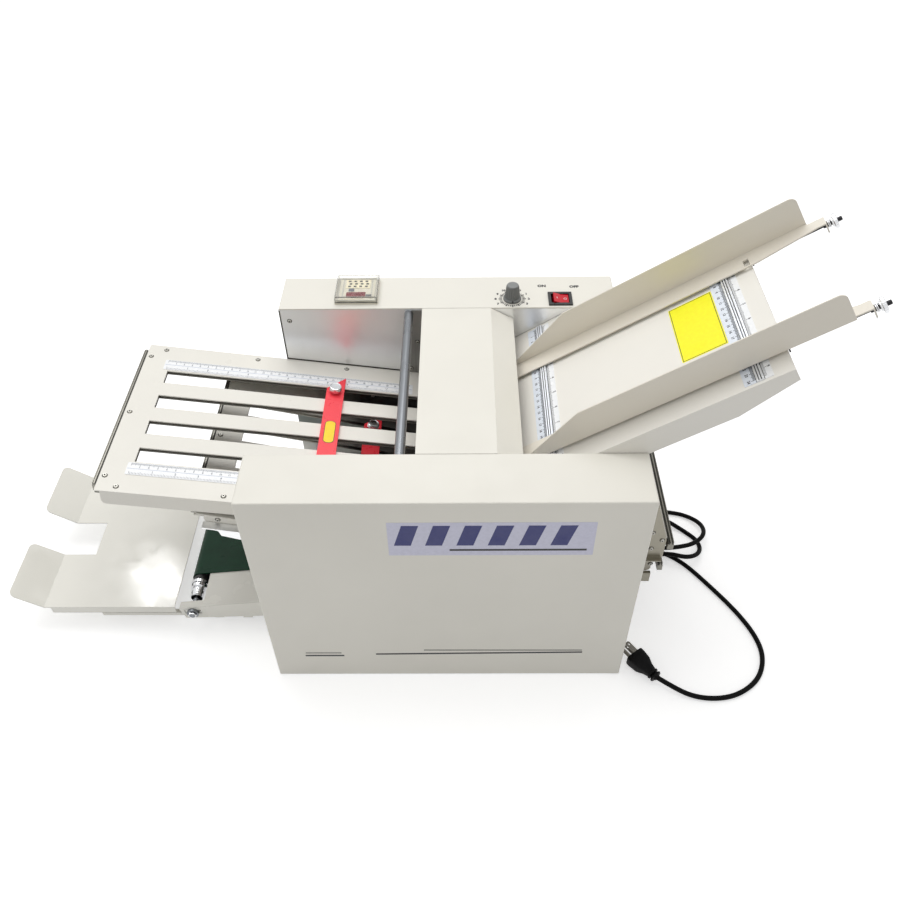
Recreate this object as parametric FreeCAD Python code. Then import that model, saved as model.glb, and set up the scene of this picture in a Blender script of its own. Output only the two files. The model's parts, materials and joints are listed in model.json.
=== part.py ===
"""Desk paper folding machine with four fold plates, an inclined feed table and a belt delivery.

Millimetres, +Z up. +X points to the feed table, +Y to the control panel. Pieces are laid out with
X = 0 at the left end of the side covers, Y = 0 midway between the covers and Z = 0 on the desk.
They are exported with X = 0 midway between the delivery tray's tip and the guide studs' tips.
"""
import FreeCAD
import Part
import math
import os
from collections import namedtuple

V = FreeCAD.Vector
AXIS_Y = V(0, 1, 0)
AXIS_Z = V(0, 0, 1)

# ---------------------------------------------------------------- driving dimensions
# casing
cover_length = 425.0
cover_depth = 68.4
cover_height = 323.0
inner_gap = 256.0
cover_sheet = 1.5
cover_bend = 2.0
foot_height = 3.0
foot_radius = 11.0
foot_inset = 26.0
base_sheet = 3.0
frame_plate = 4.0

# fold rollers and the nips between them, counted from the top
fold_roller_d = 26.0
nip_gap = 0.3
first_nip_x = 208.0
fold_shaft_d = 8.0
bearing_od = 16.0
roller_face_width = 240.0
gear_teeth = 26
gear_width = 8.0
exit_tilt = -25.0

# fold plates: tilt (left end up), length from the nip, flange depth, stop position from the nip
plate_sheet = 1.5
plate_gap = 3.0
plate_end_rise = 271.0
plate_end_x = -168.3
upper_left_tilt = 8.3
upper_left_length = 386.3
upper_left_stop_at = 141.5
lower_left_tilt = 14.0
lower_left_length = 284.0
lower_left_stop_at = 93.0
upper_right_tilt = 1.2
upper_right_length = 261.5
upper_right_stop_at = 150.0
lower_right_tilt = -1.5
lower_right_length = 262.0
lower_right_stop_at = 170.0
mouth_setback = 34.0
slot_width = 22.6
slot_pitch = 45.6
slot_margin = 32.0
deep_flange = 21.0
shallow_flange = 12.0
end_bar_height = 12.0
end_bar_groove = 3.0
lower_left_slot_shift = -15.5
plate_ruler_width = 18.5
plate_ruler_y = 91.0

# feed table, in its own slope
table_tilt = 32.64
table_ref_z = 360.1
table_upper_end = 144.5
table_lower_end = -175.0
table_sheet = 1.5
table_flange = 30.0
table_end_flange = 15.5
table_flange_taper_at = 78.0
lower_rail_at = -118.3
upper_rail_at = 108.0
rail_width = 7.7
rail_height = 3.1
scale_width = 12.3
inch_scale_width = 9.3
scale_sheet = 0.6

# side guides
guide_sheet = 1.5
guide_flange = 25.0
front_guide_wall = 39.5
rear_guide_wall = 43.0
guide_low_end = -157.0
guide_slope_end = -64.0
guide_corner = 8.0
guide_high_end = 210.5
guide_tongue_end = 228.0
rear_guide_y = 67.6
front_guide_y = -102.0
clamp_rod_d = 5.0
clamp_rod_tip = 244.0
clamp_nut_d = 17.0
clamp_nut_width = 6.0

# feed roller
feed_roller_d = 44.0
feed_roller_width = 80.0
feed_shaft_d = 10.0
feed_contact_at = -184.0
feed_bearing_od = 19.0

# hood over the rollers
hood_left = 181.0
hood_crease = 267.0
hood_right = 295.5
hood_bevel_drop = 16.3
hood_sheet = 1.5
hood_left_depth = 55.0
hood_lip = 12.0

# cross rods
tie_rod_d = 11.5
upper_tie_x = 163.8
upper_tie_z = 317.0

# delivery conveyor
conveyor_tilt = 7.0
belt_roller_d = 20.0
idler_x = -119.0
idler_z = 30.5
belt_centres = 281.0
belt_sheet = 1.2
belt_width = 139.0
conveyor_width = 244.0
conveyor_sheet = 1.5
rail_left_x = -136.0
rail_right_x = 196.0
rail_bottom_left_z = 16.5
rail_bottom_tilt = 2.5
axle_d = 8.0

# delivery tray
tray_z = 41.0
tray_right_x = -141.0
tray_fold_x = -310.0
tray_width = 227.0
tray_centre_y = -8.5
tray_sheet = 1.2
tray_notch = 55.5
tray_notch_depth = 42.0
tray_tab_run = 37.0
tray_tab_rise = 27.0
tray_flange = 12.0
tray_corner = 9.0
tray_arm_inset = 5.5
tray_arm_y = conveyor_width / 2 - tray_arm_inset
tray_arm_width = 6.0
tray_arm_height = 5.5
tray_arm_end_x = -36.0
tray_arm_z = 19.0
tray_cross_bar_x = -240.0
tray_cross_bar_width = 12.0
tray_bracket_x = (-88.0, -50.0)
tray_bracket_wall = 1.5

# drive
motor_radius = 35.0
motor_length = 95.0
motor_x = 330.0
motor_z = 62.0
motor_pulley_r = 10.0
main_pulley_r = 30.0
small_pulley_r = 9.0
feed_pulley_r = 15.0
conveyor_pulley_r = 12.0
drive_belt_sheet = 1.5
pulley_width = 8.0

# control panel on the rear cover
counter_x = 97.5
counter_y = 163.0
counter_size = 48.0
counter_depth = 40.0
counter_bezel = 54.0
counter_lid_height = 8.0
knob_x = 294.5
knob_y = 146.4
knob_base_d = 22.8
knob_top_d = 16.0
knob_height = 21.0
rocker_x = 354.9
rocker_y = 145.0
rocker_length = 30.0
rocker_width = 27.0
rocker_bezel_height = 2.0
rocker_throw = 22.0

# mains cord
cord_d = 6.2
cord_exit_y = 158.0
cord_exit_z = 46.0

# clearances
running = 0.3
shaft_fit = 0.05
seat = 0.3
slide_fit = 0.6

# ---------------------------------------------------------------- derived places
half_gap = inner_gap / 2
half_width = half_gap + cover_depth
cover_top = foot_height + cover_height
frame_outer = half_gap + frame_plate
frame_top = cover_top - cover_sheet - seat
frame_bottom = foot_height + base_sheet
panel_under = cover_top - cover_sheet
roller_pitch = fold_roller_d + nip_gap
plate_width = inner_gap - 2 * slide_fit
plate_half = plate_gap / 2
plate_outer = plate_half + plate_sheet
gear_inner_y = frame_outer + 2.0
gear_outer_y = gear_inner_y + gear_width
pulley_inner_y = gear_outer_y + 2.0
pulley_outer_y = pulley_inner_y + pulley_width
table_width = inner_gap - 2 * slide_fit
rail_top = rail_height
guide_floor = rail_top + seat


# ---------------------------------------------------------------- helpers
def box(x0, x1, y0, y1, z0, z1):
    """A block between two corners."""
    return Part.makeBox(x1 - x0, y1 - y0, z1 - z0, V(x0, y0, z0))


def block(centre, half_x, half_y, z0, z1):
    """A block around an upright line at centre (x, y)."""
    x, y = centre
    return box(x - half_x, x + half_x, y - half_y, y + half_y, z0, z1)


def rod_y(radius, x, z, y0, y1):
    """A round bar along Y."""
    return Part.makeCylinder(radius, y1 - y0, V(x, y0, z), AXIS_Y)


def rod_z(radius, x, y, z0, z1):
    """A round bar along Z."""
    return Part.makeCylinder(radius, z1 - z0, V(x, y, z0), AXIS_Z)


def rod_x(radius, y, z, x0, x1):
    """A round bar along X."""
    return Part.makeCylinder(radius, x1 - x0, V(x0, y, z), V(1, 0, 0))


def prism_y(points, y0, y1):
    """An outline given as (x, z) points, extruded along Y."""
    corners = [V(x, y0, z) for x, z in points]
    face = Part.Face(Part.makePolygon(corners + corners[:1]))
    return face.extrude(V(0, y1 - y0, 0))


def prism_z(points, z0, z1):
    """An outline given as (x, y) points, extruded along Z."""
    corners = [V(x, y, z0) for x, y in points]
    face = Part.Face(Part.makePolygon(corners + corners[:1]))
    return face.extrude(V(0, 0, z1 - z0))


def both_sides(make):
    """Call make(side) for the front (-1) and the rear (+1) and list the results."""
    return [make(side) for side in (-1, 1)]


def span(side, inner, outer):
    """A Y range from inner to outer on the given side, in rising order."""
    return (inner, outer) if side > 0 else (-outer, -inner)


def fuse(shapes):
    """One solid from touching ones."""
    whole = shapes[0]
    for shape in shapes[1:]:
        whole = whole.fuse(shape)
    return whole.removeSplitter()


def cut(shape, tools):
    """Take every tool away from the shape."""
    for tool in tools:
        shape = shape.cut(tool)
    return shape


def placed(shape, x, z, tilt, flip=False):
    """Put a shape made in a plate's own slope at (x, z). A positive tilt lowers its +X end, and
    flip first turns it about Z, so that its +X end points to the left."""
    spin = FreeCAD.Rotation(AXIS_Z, 180.0 if flip else 0.0)
    lean = FreeCAD.Rotation(AXIS_Y, tilt)
    moved = shape.copy()
    moved.Placement = FreeCAD.Placement(V(x, 0, z), lean.multiply(spin)).multiply(moved.Placement)
    return moved


def on_plate(x, z, tilt, flip, along, above):
    """Where a point of a plate's slope lies, as (x, z)."""
    point = placed(Part.Vertex(V(along, 0, above)), x, z, tilt, flip).Point
    return point.x, point.z


def ring_y(outer, inner, x, z, y0, y1):
    """A round bush along Y."""
    return rod_y(outer, x, z, y0, y1).cut(rod_y(inner, x, z, y0 - 1, y1 + 1))


def loop_wire(x1, z1, r1, x2, z2, r2, y):
    """The line of a band stretched round two circles."""
    reach = math.hypot(x2 - x1, z2 - z1)
    lean = math.atan2(z2 - z1, x2 - x1)
    wrap = math.acos((r1 - r2) / reach)

    def at(x, z, r, angle):
        return V(x + r * math.cos(angle), y, z + r * math.sin(angle))

    a, b = at(x1, z1, r1, lean + wrap), at(x1, z1, r1, lean - wrap)
    c, d = at(x2, z2, r2, lean - wrap), at(x2, z2, r2, lean + wrap)
    first = Part.Arc(a, at(x1, z1, r1, lean + math.pi), b).toShape()
    second = Part.Arc(c, at(x2, z2, r2, lean), d).toShape()
    return Part.Wire([first, Part.LineSegment(b, c).toShape(), second, Part.LineSegment(d, a).toShape()])


def band(x1, z1, r1, x2, z2, r2, sheet, y0, y1):
    """A belt of the given thickness round two pulleys, just clear of them."""
    r1 += running / 2
    r2 += running / 2
    outer = Part.Face(loop_wire(x1, z1, r1 + sheet, x2, z2, r2 + sheet, y0)).extrude(V(0, y1 - y0, 0))
    inner = Part.Face(loop_wire(x1, z1, r1, x2, z2, r2, y0 - 1)).extrude(V(0, y1 - y0 + 2, 0))
    return outer.cut(inner)


def gear(x, z, phase, y0, y1, bore):
    """A spur gear whose first tooth points at the phase angle, in radians from +X towards +Z."""
    pitch_r = roller_pitch / 2
    root_r = pitch_r - 1.1
    tip_r = pitch_r + 0.9
    root_half = 0.72 / root_r
    tip_half = 0.34 / tip_r
    points = []
    for tooth in range(gear_teeth):
        middle = phase + 2 * math.pi * tooth / gear_teeth
        corners = ((root_r, -root_half), (tip_r, -tip_half), (tip_r, tip_half), (root_r, root_half))
        for radius, angle in corners:
            turn = middle + angle
            points.append((x + radius * math.cos(turn), z + radius * math.sin(turn)))
    return prism_y(points, y0, y1).cut(rod_y(bore, x, z, y0 - 1, y1 + 1))


def pan_screw(x, y, z, shank, head_r=2.8, head_h=1.6, shank_r=1.5):
    """A pan head screw standing on z, with its shank below."""
    return rod_z(head_r, x, y, z, z + head_h).fuse(rod_z(shank_r, x, y, z - shank, z))


nodes = {}


def keep(name, *solids):
    """Keep the solids of one node for the export."""
    nodes[name] = list(solids)


# ---------------------------------------------------------------- roller column
def next_roller(x, z, tilt):
    """Centre of the roller below one at (x, z), across a sheet path with the given tilt."""
    lean = math.radians(tilt)
    return x - roller_pitch * math.sin(lean), z - roller_pitch * math.cos(lean)


first_path_z = (plate_end_rise - plate_outer / math.cos(math.radians(upper_left_tilt))
                - (first_nip_x - plate_end_x) * math.tan(math.radians(upper_left_tilt)))
lean_1 = math.radians(upper_left_tilt)
roller_centres = [(first_nip_x + roller_pitch / 2 * math.sin(lean_1),
                   first_path_z + roller_pitch / 2 * math.cos(lean_1))]
path_tilts = [upper_left_tilt, upper_right_tilt, lower_left_tilt, lower_right_tilt, exit_tilt]
for path_tilt in path_tilts:
    roller_centres.append(next_roller(*roller_centres[-1], path_tilt))
nips = [((a[0] + b[0]) / 2, (a[1] + b[1]) / 2) for a, b in zip(roller_centres, roller_centres[1:])]


# ---------------------------------------------------------------- feed table slope
def on_table(along, above):
    """Where a point of the feed table's slope lies, as (x, z)."""
    return on_plate(cover_length, table_ref_z, -table_tilt, False, along, above)


def table_placed(shape):
    """Put a shape made in the feed table's slope in its place."""
    return placed(shape, cover_length, table_ref_z, -table_tilt)


feed_centre = on_table(feed_contact_at, feed_roller_d / 2)


# ---------------------------------------------------------------- conveyor line
conveyor_rise = math.tan(math.radians(conveyor_tilt))
belt_r = belt_roller_d / 2
drive_x = idler_x + belt_centres * math.cos(math.radians(conveyor_tilt))
drive_z = idler_z + belt_centres * math.sin(math.radians(conveyor_tilt))
bed_above = belt_r - 0.3


def bed_top(x):
    """Height of the conveyor bed's upper face at x."""
    return idler_z + bed_above / math.cos(math.radians(conveyor_tilt)) + (x - idler_x) * conveyor_rise


# ---------------------------------------------------------------- side frames
arm_flange = 6.0
arm_sheet = 1.5
arm_right_x = 465.0
left_arm = [(0, 184), (-27.6, 190.9), (-47, 198), (-49, 206), (-63, 212), (-65, 215), (-64, 219.5), (0, 206)]
lower_arm = [(cover_length, 108), (cover_length + 31, 108), (cover_length + 31, 124), (cover_length, 124)]
upper_arm = [(cover_length, 154.3), (arm_right_x - 2, 154.3), (arm_right_x, 157), (arm_right_x, 187),
             (cover_length + 23.5, 243), (cover_length, 250)]
frame_outline = ([(0, frame_bottom), (cover_length, frame_bottom)] + lower_arm + upper_arm
                 + [(cover_length, frame_top), (0, frame_top)] + list(reversed(left_arm)))
hood_top = cover_top
hood_rest_z = hood_top - hood_left_depth + 14.0
hood_rests = [(hood_left + 14, hood_rest_z), (hood_right - 16, hood_rest_z)]
hood_rest_r = 3.0
lower_ties = [(28.0, 98.0), (404.0, 30.0)]
shaft_list = [(x, z, fold_shaft_d, bearing_od) for x, z in roller_centres]
shaft_list.append((feed_centre[0], feed_centre[1], feed_shaft_d, feed_bearing_od))
shaft_list.append((drive_x, drive_z, axle_d, bearing_od))
Plate = namedtuple("Plate", "nip tilt flip length flange flange_end stop_at slot_shift bar_thick bar_half")
plate_specs = {
    "upper_left": Plate(nips[0], upper_left_tilt, True, upper_left_length, deep_flange, 6.0,
                        upper_left_stop_at, 0.0, 5.0, 117.0),
    "upper_right": Plate(nips[1], upper_right_tilt, False, upper_right_length, shallow_flange, 6.0,
                         upper_right_stop_at, 0.0, 7.0, 134.0),
    "lower_left": Plate(nips[2], lower_left_tilt, True, lower_left_length, shallow_flange, 11.5,
                        lower_left_stop_at, lower_left_slot_shift, 5.0, 117.0),
    "lower_right": Plate(nips[3], lower_right_tilt, False, lower_right_length, deep_flange, 6.0,
                         lower_right_stop_at, 0.0, 6.0, 134.0),
}
rest_pin_r = 3.0
rest_pin_reach = 8.0
rest_pin_at = (70.0, 200.0)


def put_plate(spec, shape):
    """Put a shape made in a fold plate's slope in its place."""
    return placed(shape, *spec.nip, spec.tilt, spec.flip)


def on_spec(spec, along, above):
    """Where a point of a fold plate's slope lies, as (x, z)."""
    return on_plate(*spec.nip, spec.tilt, spec.flip, along, above)


def side_frame(side):
    """One steel side frame with its bearing seats, plate rests, hood rests and motor hole."""
    y0, y1 = span(side, half_gap, frame_outer)
    plate = prism_y(frame_outline, y0, y1)
    flange_y = span(side, frame_outer - 0.01, frame_outer + arm_flange)
    tip_x, tip_z = left_arm[-2]
    near_z = left_arm[-1][1] + 0.42
    left_edge = [(tip_x, tip_z), (-2, near_z), (-2, near_z - arm_sheet), (tip_x, tip_z - arm_sheet)]
    right_z = upper_arm[0][1]
    flanges = [prism_y(left_edge, *flange_y),
               box(cover_length + 2, arm_right_x - 2, *flange_y, right_z, right_z + arm_sheet)]
    pins = []
    pin_y = span(side, half_gap - rest_pin_reach, half_gap + 1)
    for plate_spec in plate_specs.values():
        for along in rest_pin_at:
            x, z = on_spec(plate_spec, along, plate_outer - plate_spec.flange - rest_pin_r - seat)
            pins.append(rod_y(rest_pin_r, x, z, *pin_y))
    for x, z in hood_rests:
        pins.append(rod_y(hood_rest_r, x, z, *pin_y))
    holes = [rod_y(od / 2 + shaft_fit, x, z, y0 - 1, y1 + 1) for x, z, d, od in shaft_list]
    if side < 0:
        holes.append(rod_y(fold_shaft_d / 2 + 3, motor_x, motor_z, y0 - 1, y1 + 1))
    return cut(fuse([plate] + flanges + pins), holes)


keep("front_side_frame", side_frame(-1))
keep("rear_side_frame", side_frame(1))


# ---------------------------------------------------------------- bearings, rods, base, feet
def bearings():
    """A pair of bushes for every shaft that the frames carry."""
    rings = []
    for x, z, d, od in shaft_list:
        for side in (-1, 1):
            y0, y1 = span(side, half_gap, frame_outer)
            rings.append(ring_y(od / 2, d / 2 + shaft_fit, x, z, y0, y1))
    return rings


keep("roller_bearings", *bearings())

tie_places = [(upper_tie_x, upper_tie_z)] + lower_ties
keep("tie_rods", *[rod_y(tie_rod_d / 2, x, z, -half_gap, half_gap) for x, z in tie_places])

base_margin = cover_sheet + slide_fit
base_half = half_width - base_margin
base_right = cover_length - base_margin
keep("base_plate", box(base_margin, base_right, -base_half, base_half, foot_height, frame_bottom))

foot_y = half_width - foot_inset
keep("rubber_feet", *[rod_z(foot_radius, x, y, 0, foot_height)
                      for x in (foot_inset, cover_length - foot_inset) for y in (-foot_y, foot_y)])


# ---------------------------------------------------------------- covers
def side_cover(side):
    """A sheet cover: face, top and both ends, open below and towards the side frame."""
    outer_y = span(side, half_gap, half_width)
    shell = box(0, cover_length, *outer_y, foot_height, cover_top)
    face_y = half_width * side
    edges = []
    for edge in shell.Edges:
        middle = edge.CenterOfMass
        on_face = abs(middle.y - face_y) < 0.01
        on_top = abs(middle.z - cover_top) < 0.01
        on_end = abs(middle.x) < 0.01 or abs(middle.x - cover_length) < 0.01
        if (on_face and (on_top or on_end)) or (on_top and on_end):
            edges.append(edge)
    shell = shell.makeFillet(cover_bend, edges)
    inner_y = span(side, half_gap - 1, half_width - cover_sheet)
    hollow = box(cover_sheet, cover_length - cover_sheet, *inner_y, foot_height - 1, panel_under)
    frame_y = span(side, half_gap - 1, frame_outer + seat)
    frame_slot = box(-1, cover_length + 1, *frame_y, foot_height - 1, panel_under)
    return cut(shell, [hollow, frame_slot])


gland_r = 6.0
counter_at = (counter_x, counter_y)
counter_half = counter_size / 2
rocker_at = (rocker_x, rocker_y)
through_top = (panel_under - 5, cover_top + 5)
rear_openings = [
    block(counter_at, counter_half + seat, counter_half + seat, *through_top),
    rod_z(4.0, knob_x, knob_y, *through_top),
    block(rocker_at, rocker_length / 2 - 2, rocker_width / 2 - 2, *through_top),
    rod_x(gland_r, cord_exit_y, cord_exit_z, cover_length - 5, cover_length + 5),
]
keep("front_cover", side_cover(-1))
keep("rear_cover", cut(side_cover(1), rear_openings))


# ---------------------------------------------------------------- rollers, gears and pulleys
def gear_phases():
    """Tooth angles that keep each gear in mesh with the one above it."""
    phases = [0.0]
    step = 2 * math.pi / gear_teeth
    for above, below in zip(roller_centres, roller_centres[1:]):
        towards = math.atan2(below[1] - above[1], below[0] - above[0])
        part = (towards - phases[-1]) / step
        phases.append(towards + math.pi - (0.5 - part) * step)
    return phases


main_pulley_y = span(-1, frame_outer + 4, frame_outer + 4 + pulley_width)


def fold_roller(index, phase):
    """A fold roller with its shaft and gear, and the pulleys that three of them carry."""
    x, z = roller_centres[index]
    face = roller_face_width / 2
    shaft_r = fold_shaft_d / 2
    rear_end = pulley_outer_y + 2 if index in (0, 5) else gear_outer_y + 1
    front_end = -main_pulley_y[0] + 2 if index == 4 else frame_outer + 1.5
    solids = [
        ring_y(fold_roller_d / 2, shaft_r, x, z, -face, face),
        rod_y(shaft_r, x, z, -front_end, rear_end),
        gear(x, z, phase, gear_inner_y, gear_outer_y, shaft_r),
    ]
    if index == 0:
        solids.append(ring_y(small_pulley_r, shaft_r, x, z, pulley_inner_y, pulley_outer_y))
    if index == 4:
        solids.append(ring_y(main_pulley_r, shaft_r, x, z, *main_pulley_y))
    if index == 5:
        solids.append(ring_y(small_pulley_r, shaft_r, x, z, pulley_inner_y, pulley_outer_y))
    return solids


for number, phase in enumerate(gear_phases()):
    keep("fold_roller_%d" % (number + 1), *fold_roller(number, phase))

feed_x, feed_z = feed_centre
feed_half = feed_roller_width / 2
keep("feed_roller",
     ring_y(feed_roller_d / 2, feed_shaft_d / 2, feed_x, feed_z, -feed_half, feed_half),
     rod_y(feed_shaft_d / 2, feed_x, feed_z, -frame_outer - 1.5, pulley_outer_y + 2),
     ring_y(feed_pulley_r, feed_shaft_d / 2, feed_x, feed_z, pulley_inner_y, pulley_outer_y))

# ---------------------------------------------------------------- motor and belts
motor_face = -half_gap + seat
motor_shaft_in = 24.0
motor_can = rod_y(motor_radius, motor_x, motor_z, motor_face, motor_face + motor_length)
bore_end = motor_face + motor_shaft_in + seat
motor_bore = rod_y(fold_shaft_d / 2 + shaft_fit, motor_x, motor_z, motor_face - 1, bore_end)
foot_end = motor_face + motor_length - 8
motor_foot = box(motor_x - 25, motor_x + 25, motor_face + 8, foot_end, frame_bottom, motor_z)
keep("motor", fuse([motor_can, motor_foot]).cut(motor_bore))
keep("motor_pulley",
     fuse([rod_y(fold_shaft_d / 2, motor_x, motor_z, main_pulley_y[0] - 2, motor_face + motor_shaft_in),
           rod_y(motor_pulley_r, motor_x, motor_z, *main_pulley_y)]))

roller_1, roller_5, roller_6 = roller_centres[0], roller_centres[4], roller_centres[5]
keep("drive_belts",
     band(*roller_5, main_pulley_r, motor_x, motor_z, motor_pulley_r, drive_belt_sheet,
          main_pulley_y[0] + 1, main_pulley_y[1] - 1),
     band(*roller_1, small_pulley_r, feed_x, feed_z, feed_pulley_r, drive_belt_sheet,
          pulley_inner_y + 1, pulley_outer_y - 1),
     band(*roller_6, small_pulley_r, drive_x, drive_z, conveyor_pulley_r, drive_belt_sheet,
          pulley_inner_y + 1, pulley_outer_y - 1))


# ---------------------------------------------------------------- fold plates
plate_screws = []
end_bars = []


def slot_cutters(start, end, shift, z0, z1):
    """The four long slots between the slats, open at the mouth."""
    centres = [(index - 1.5) * slot_pitch + shift for index in range(4)]
    return [box(start, end, y - slot_width / 2, y + slot_width / 2, z0, z1) for y in centres]


def rounded_end_sheet(start, end, half, radius, z0, z1):
    """A flat sheet whose two far corners are rounded."""
    sheet = box(start, end, -half, half, z0, z1)
    corners = [edge for edge in sheet.Edges
               if abs(edge.CenterOfMass.x - end) < 0.01 and abs(edge.CenterOfMass.z - (z0 + z1) / 2) < 0.01]
    return sheet.makeFillet(radius, corners)


def end_bar(spec):
    """The bar across a plate's end: a raised middle rib, lower edges and a leg between the sheets."""
    start = spec.length
    end = start + spec.bar_thick
    rib = start + spec.bar_thick * 0.35
    top = plate_outer
    outline = [(start, top - end_bar_height), (end, top - end_bar_height), (end, top - end_bar_groove),
               (rib + 1.5, top - end_bar_groove), (rib + 1.5, top), (rib, top), (rib, top - end_bar_groove),
               (start, top - end_bar_groove)]
    bar = prism_y(outline, -spec.bar_half, spec.bar_half)
    leg = box(start - 12, start, -plate_width / 2 + 10, plate_width / 2 - 10, -plate_half, plate_half)
    return fuse([bar, leg])


def fold_plate(name):
    """Upper sheet, lower sheet, end bar and screws of one fold plate."""
    spec = plate_specs[name]
    length = spec.length
    half = plate_width / 2
    turn = -1 if spec.flip else 1
    shift = spec.slot_shift * turn
    slot_end = length - slot_margin
    corner = 6.0 if spec.flange_end > 6 else 2.5
    top = rounded_end_sheet(mouth_setback, length, half, corner, plate_half, plate_outer)
    flange_end = length - spec.flange_end
    flange_low = plate_outer - spec.flange
    outline = [(mouth_setback + 14, plate_half), (flange_end, plate_half), (flange_end, flange_low + 5),
               (flange_end - 1.5, flange_low + 1.5), (flange_end - 5, flange_low),
               (mouth_setback + 24, flange_low)]
    flanges = both_sides(lambda side: prism_y(outline, *span(side, half - plate_sheet, half)))
    lip = [(mouth_setback, plate_half), (mouth_setback + 0.01, plate_outer),
           (mouth_setback - 4, plate_outer + 2.5), (mouth_setback - 4.8, plate_outer + 1.4)]
    top = fuse([top] + flanges + [prism_y(lip, -half, half)])
    top = cut(top, slot_cutters(mouth_setback - 6, slot_end, shift, plate_half - 1, plate_outer + 4))
    low_half = half - plate_sheet - slide_fit
    low = box(mouth_setback, length, -low_half, low_half, -plate_outer, -plate_half)
    low = cut(low, slot_cutters(mouth_setback - 6, slot_end, shift, -plate_outer - 1, -plate_half + 1))
    bar = end_bar(spec)
    holes = [(length - 6, y) for y in (-104.5, 0, 104.5)]
    rows = (length - 22, length * 0.64, length * 0.34)
    spaced = [(along, side * 119.4) for along in rows for side in (-1, 1)]
    drills = [rod_z(1.55, x, y, -plate_outer - 1, plate_outer + 1) for x, y in holes + spaced]
    spacers = []
    for (x, y), drill in zip(spaced, drills[len(holes):]):
        spacers.append(rod_z(3.5, x, y, -plate_half, plate_half).cut(drill))
    top = cut(top, drills)
    low = cut(low, drills)
    bar = cut(bar, drills[:len(holes)])
    screws = [pan_screw(x, y, plate_outer, 2 * plate_outer + 1.5) for x, y in holes + spaced]
    end_bars.append(put_plate(spec, bar))
    plate_screws.extend([put_plate(spec, piece) for piece in screws + spacers])
    return put_plate(spec, top), put_plate(spec, low)


upper_top, upper_low = fold_plate("upper_left")
keep("upper_left_plate", upper_top)
keep("upper_left_backplate", upper_low)
for name in ("lower_left", "upper_right", "lower_right"):
    keep(name + "_plate", *fold_plate(name))
keep("plate_end_bars", *end_bars)


# ---------------------------------------------------------------- fold stops
stop_width = 22.5
stop_sheet = 3.0
stop_half_length = 96.0
stop_point = 22.0
stop_floor = plate_outer + scale_sheet + seat
stop_screw_y = 1.5 * slot_pitch
thumb_r = 7.5
thumb_height = 7.5
clamp_sheet = 3.0


def fold_stop(name):
    """A sliding stop: pointed bar across the slats, fingers through the middle slots, and clamps."""
    spec = plate_specs[name]
    near = spec.stop_at - stop_width / 2
    far = spec.stop_at + stop_width / 2
    turn = -1 if spec.flip else 1
    shift = spec.slot_shift * turn
    outline = [(near, shift - stop_half_length), (far, shift - stop_half_length + stop_point),
               (far, shift + stop_half_length - stop_point), (near, shift + stop_half_length)]
    bar = prism_z(outline, stop_floor, stop_floor + stop_sheet)
    fingers = []
    for y in (shift - slot_pitch / 2, shift + slot_pitch / 2):
        fingers.append(box(near + 0.5, near + 3.0, y - 8, y + 8, -plate_outer - 3, stop_floor + 1))
    tongue_y = shift - stop_screw_y * turn
    fingers.append(box(near + 4, far - 4, tongue_y - 6, tongue_y + 6, -plate_outer - 2, stop_floor + 1))
    screw_y = shift + stop_screw_y * turn
    drill = rod_z(2 + shaft_fit, spec.stop_at, screw_y, -20, 20)
    bar = fuse([bar] + fingers).cut(drill)
    clamp_top = -plate_outer - seat
    clamp = block((spec.stop_at, screw_y), stop_width / 2 - 2, 15, clamp_top - clamp_sheet, clamp_top)
    head_z = stop_floor + stop_sheet + 0.1
    shank = rod_z(2, spec.stop_at, screw_y, clamp_top - clamp_sheet - 3, head_z)
    collar = rod_z(4.5, spec.stop_at, screw_y, head_z, head_z + 2)
    head = rod_z(thumb_r, spec.stop_at, screw_y, head_z + 2, head_z + 2 + thumb_height)
    keep(name + "_stop", put_plate(spec, bar), put_plate(spec, clamp.cut(drill)))
    keep(name + "_stop_screw", put_plate(spec, fuse([shank, collar, head])))
    return on_spec(spec, spec.stop_at, head_z)


stop_screws = {name: fold_stop(name) for name in plate_specs}

# ---------------------------------------------------------------- feed table
table_half = table_width / 2


def feed_table():
    """The table sheet with its side flanges and its end flange."""
    across = (-table_half, table_half)
    parts = [box(table_lower_end, table_upper_end, *across, -table_sheet, 0)]
    outline = [(table_lower_end + 12, 0), (table_lower_end + 24, -table_flange),
               (table_flange_taper_at, -table_flange), (table_upper_end - 1, -table_end_flange),
               (table_upper_end - 1, 0)]
    parts.extend(both_sides(lambda side: prism_y(outline, *span(side, table_half - table_sheet, table_half))))
    parts.append(box(table_upper_end - table_sheet, table_upper_end, *across, -table_end_flange, 0))
    pad_holder = box(feed_contact_at - 12, table_lower_end + 0.01, -35, 35, -7, -4 - seat)
    riser = box(table_lower_end, table_lower_end + 3, -35, 35, -7, -table_sheet)
    return fuse(parts + [pad_holder, riser])


keep("feed_table", table_placed(feed_table()))
pad = box(feed_contact_at - 11, table_lower_end - 1, -32, 32, -4 - seat, -running)
keep("separator_pad", table_placed(pad))


def table_scale(at):
    """A graduated strip with the raised rail that the guides ride on."""
    across = (-table_half + 4, table_half - 4)
    strip = box(at - scale_width, at + rail_width + inch_scale_width, *across, 0, scale_sheet)
    rail = box(at, at + rail_width, *across, 0, rail_height)
    return table_placed(fuse([strip, rail]))


def plate_scale(y):
    """A graduated strip along the upper left fold plate."""
    spec = plate_specs["upper_left"]
    strip = box(mouth_setback + 9, spec.length - 26, y - plate_ruler_width / 2, y + plate_ruler_width / 2,
                plate_outer, plate_outer + scale_sheet)
    return put_plate(spec, strip)


keep("ruler_strips", table_scale(lower_rail_at), table_scale(upper_rail_at),
     plate_scale(-plate_ruler_y), plate_scale(plate_ruler_y))


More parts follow.
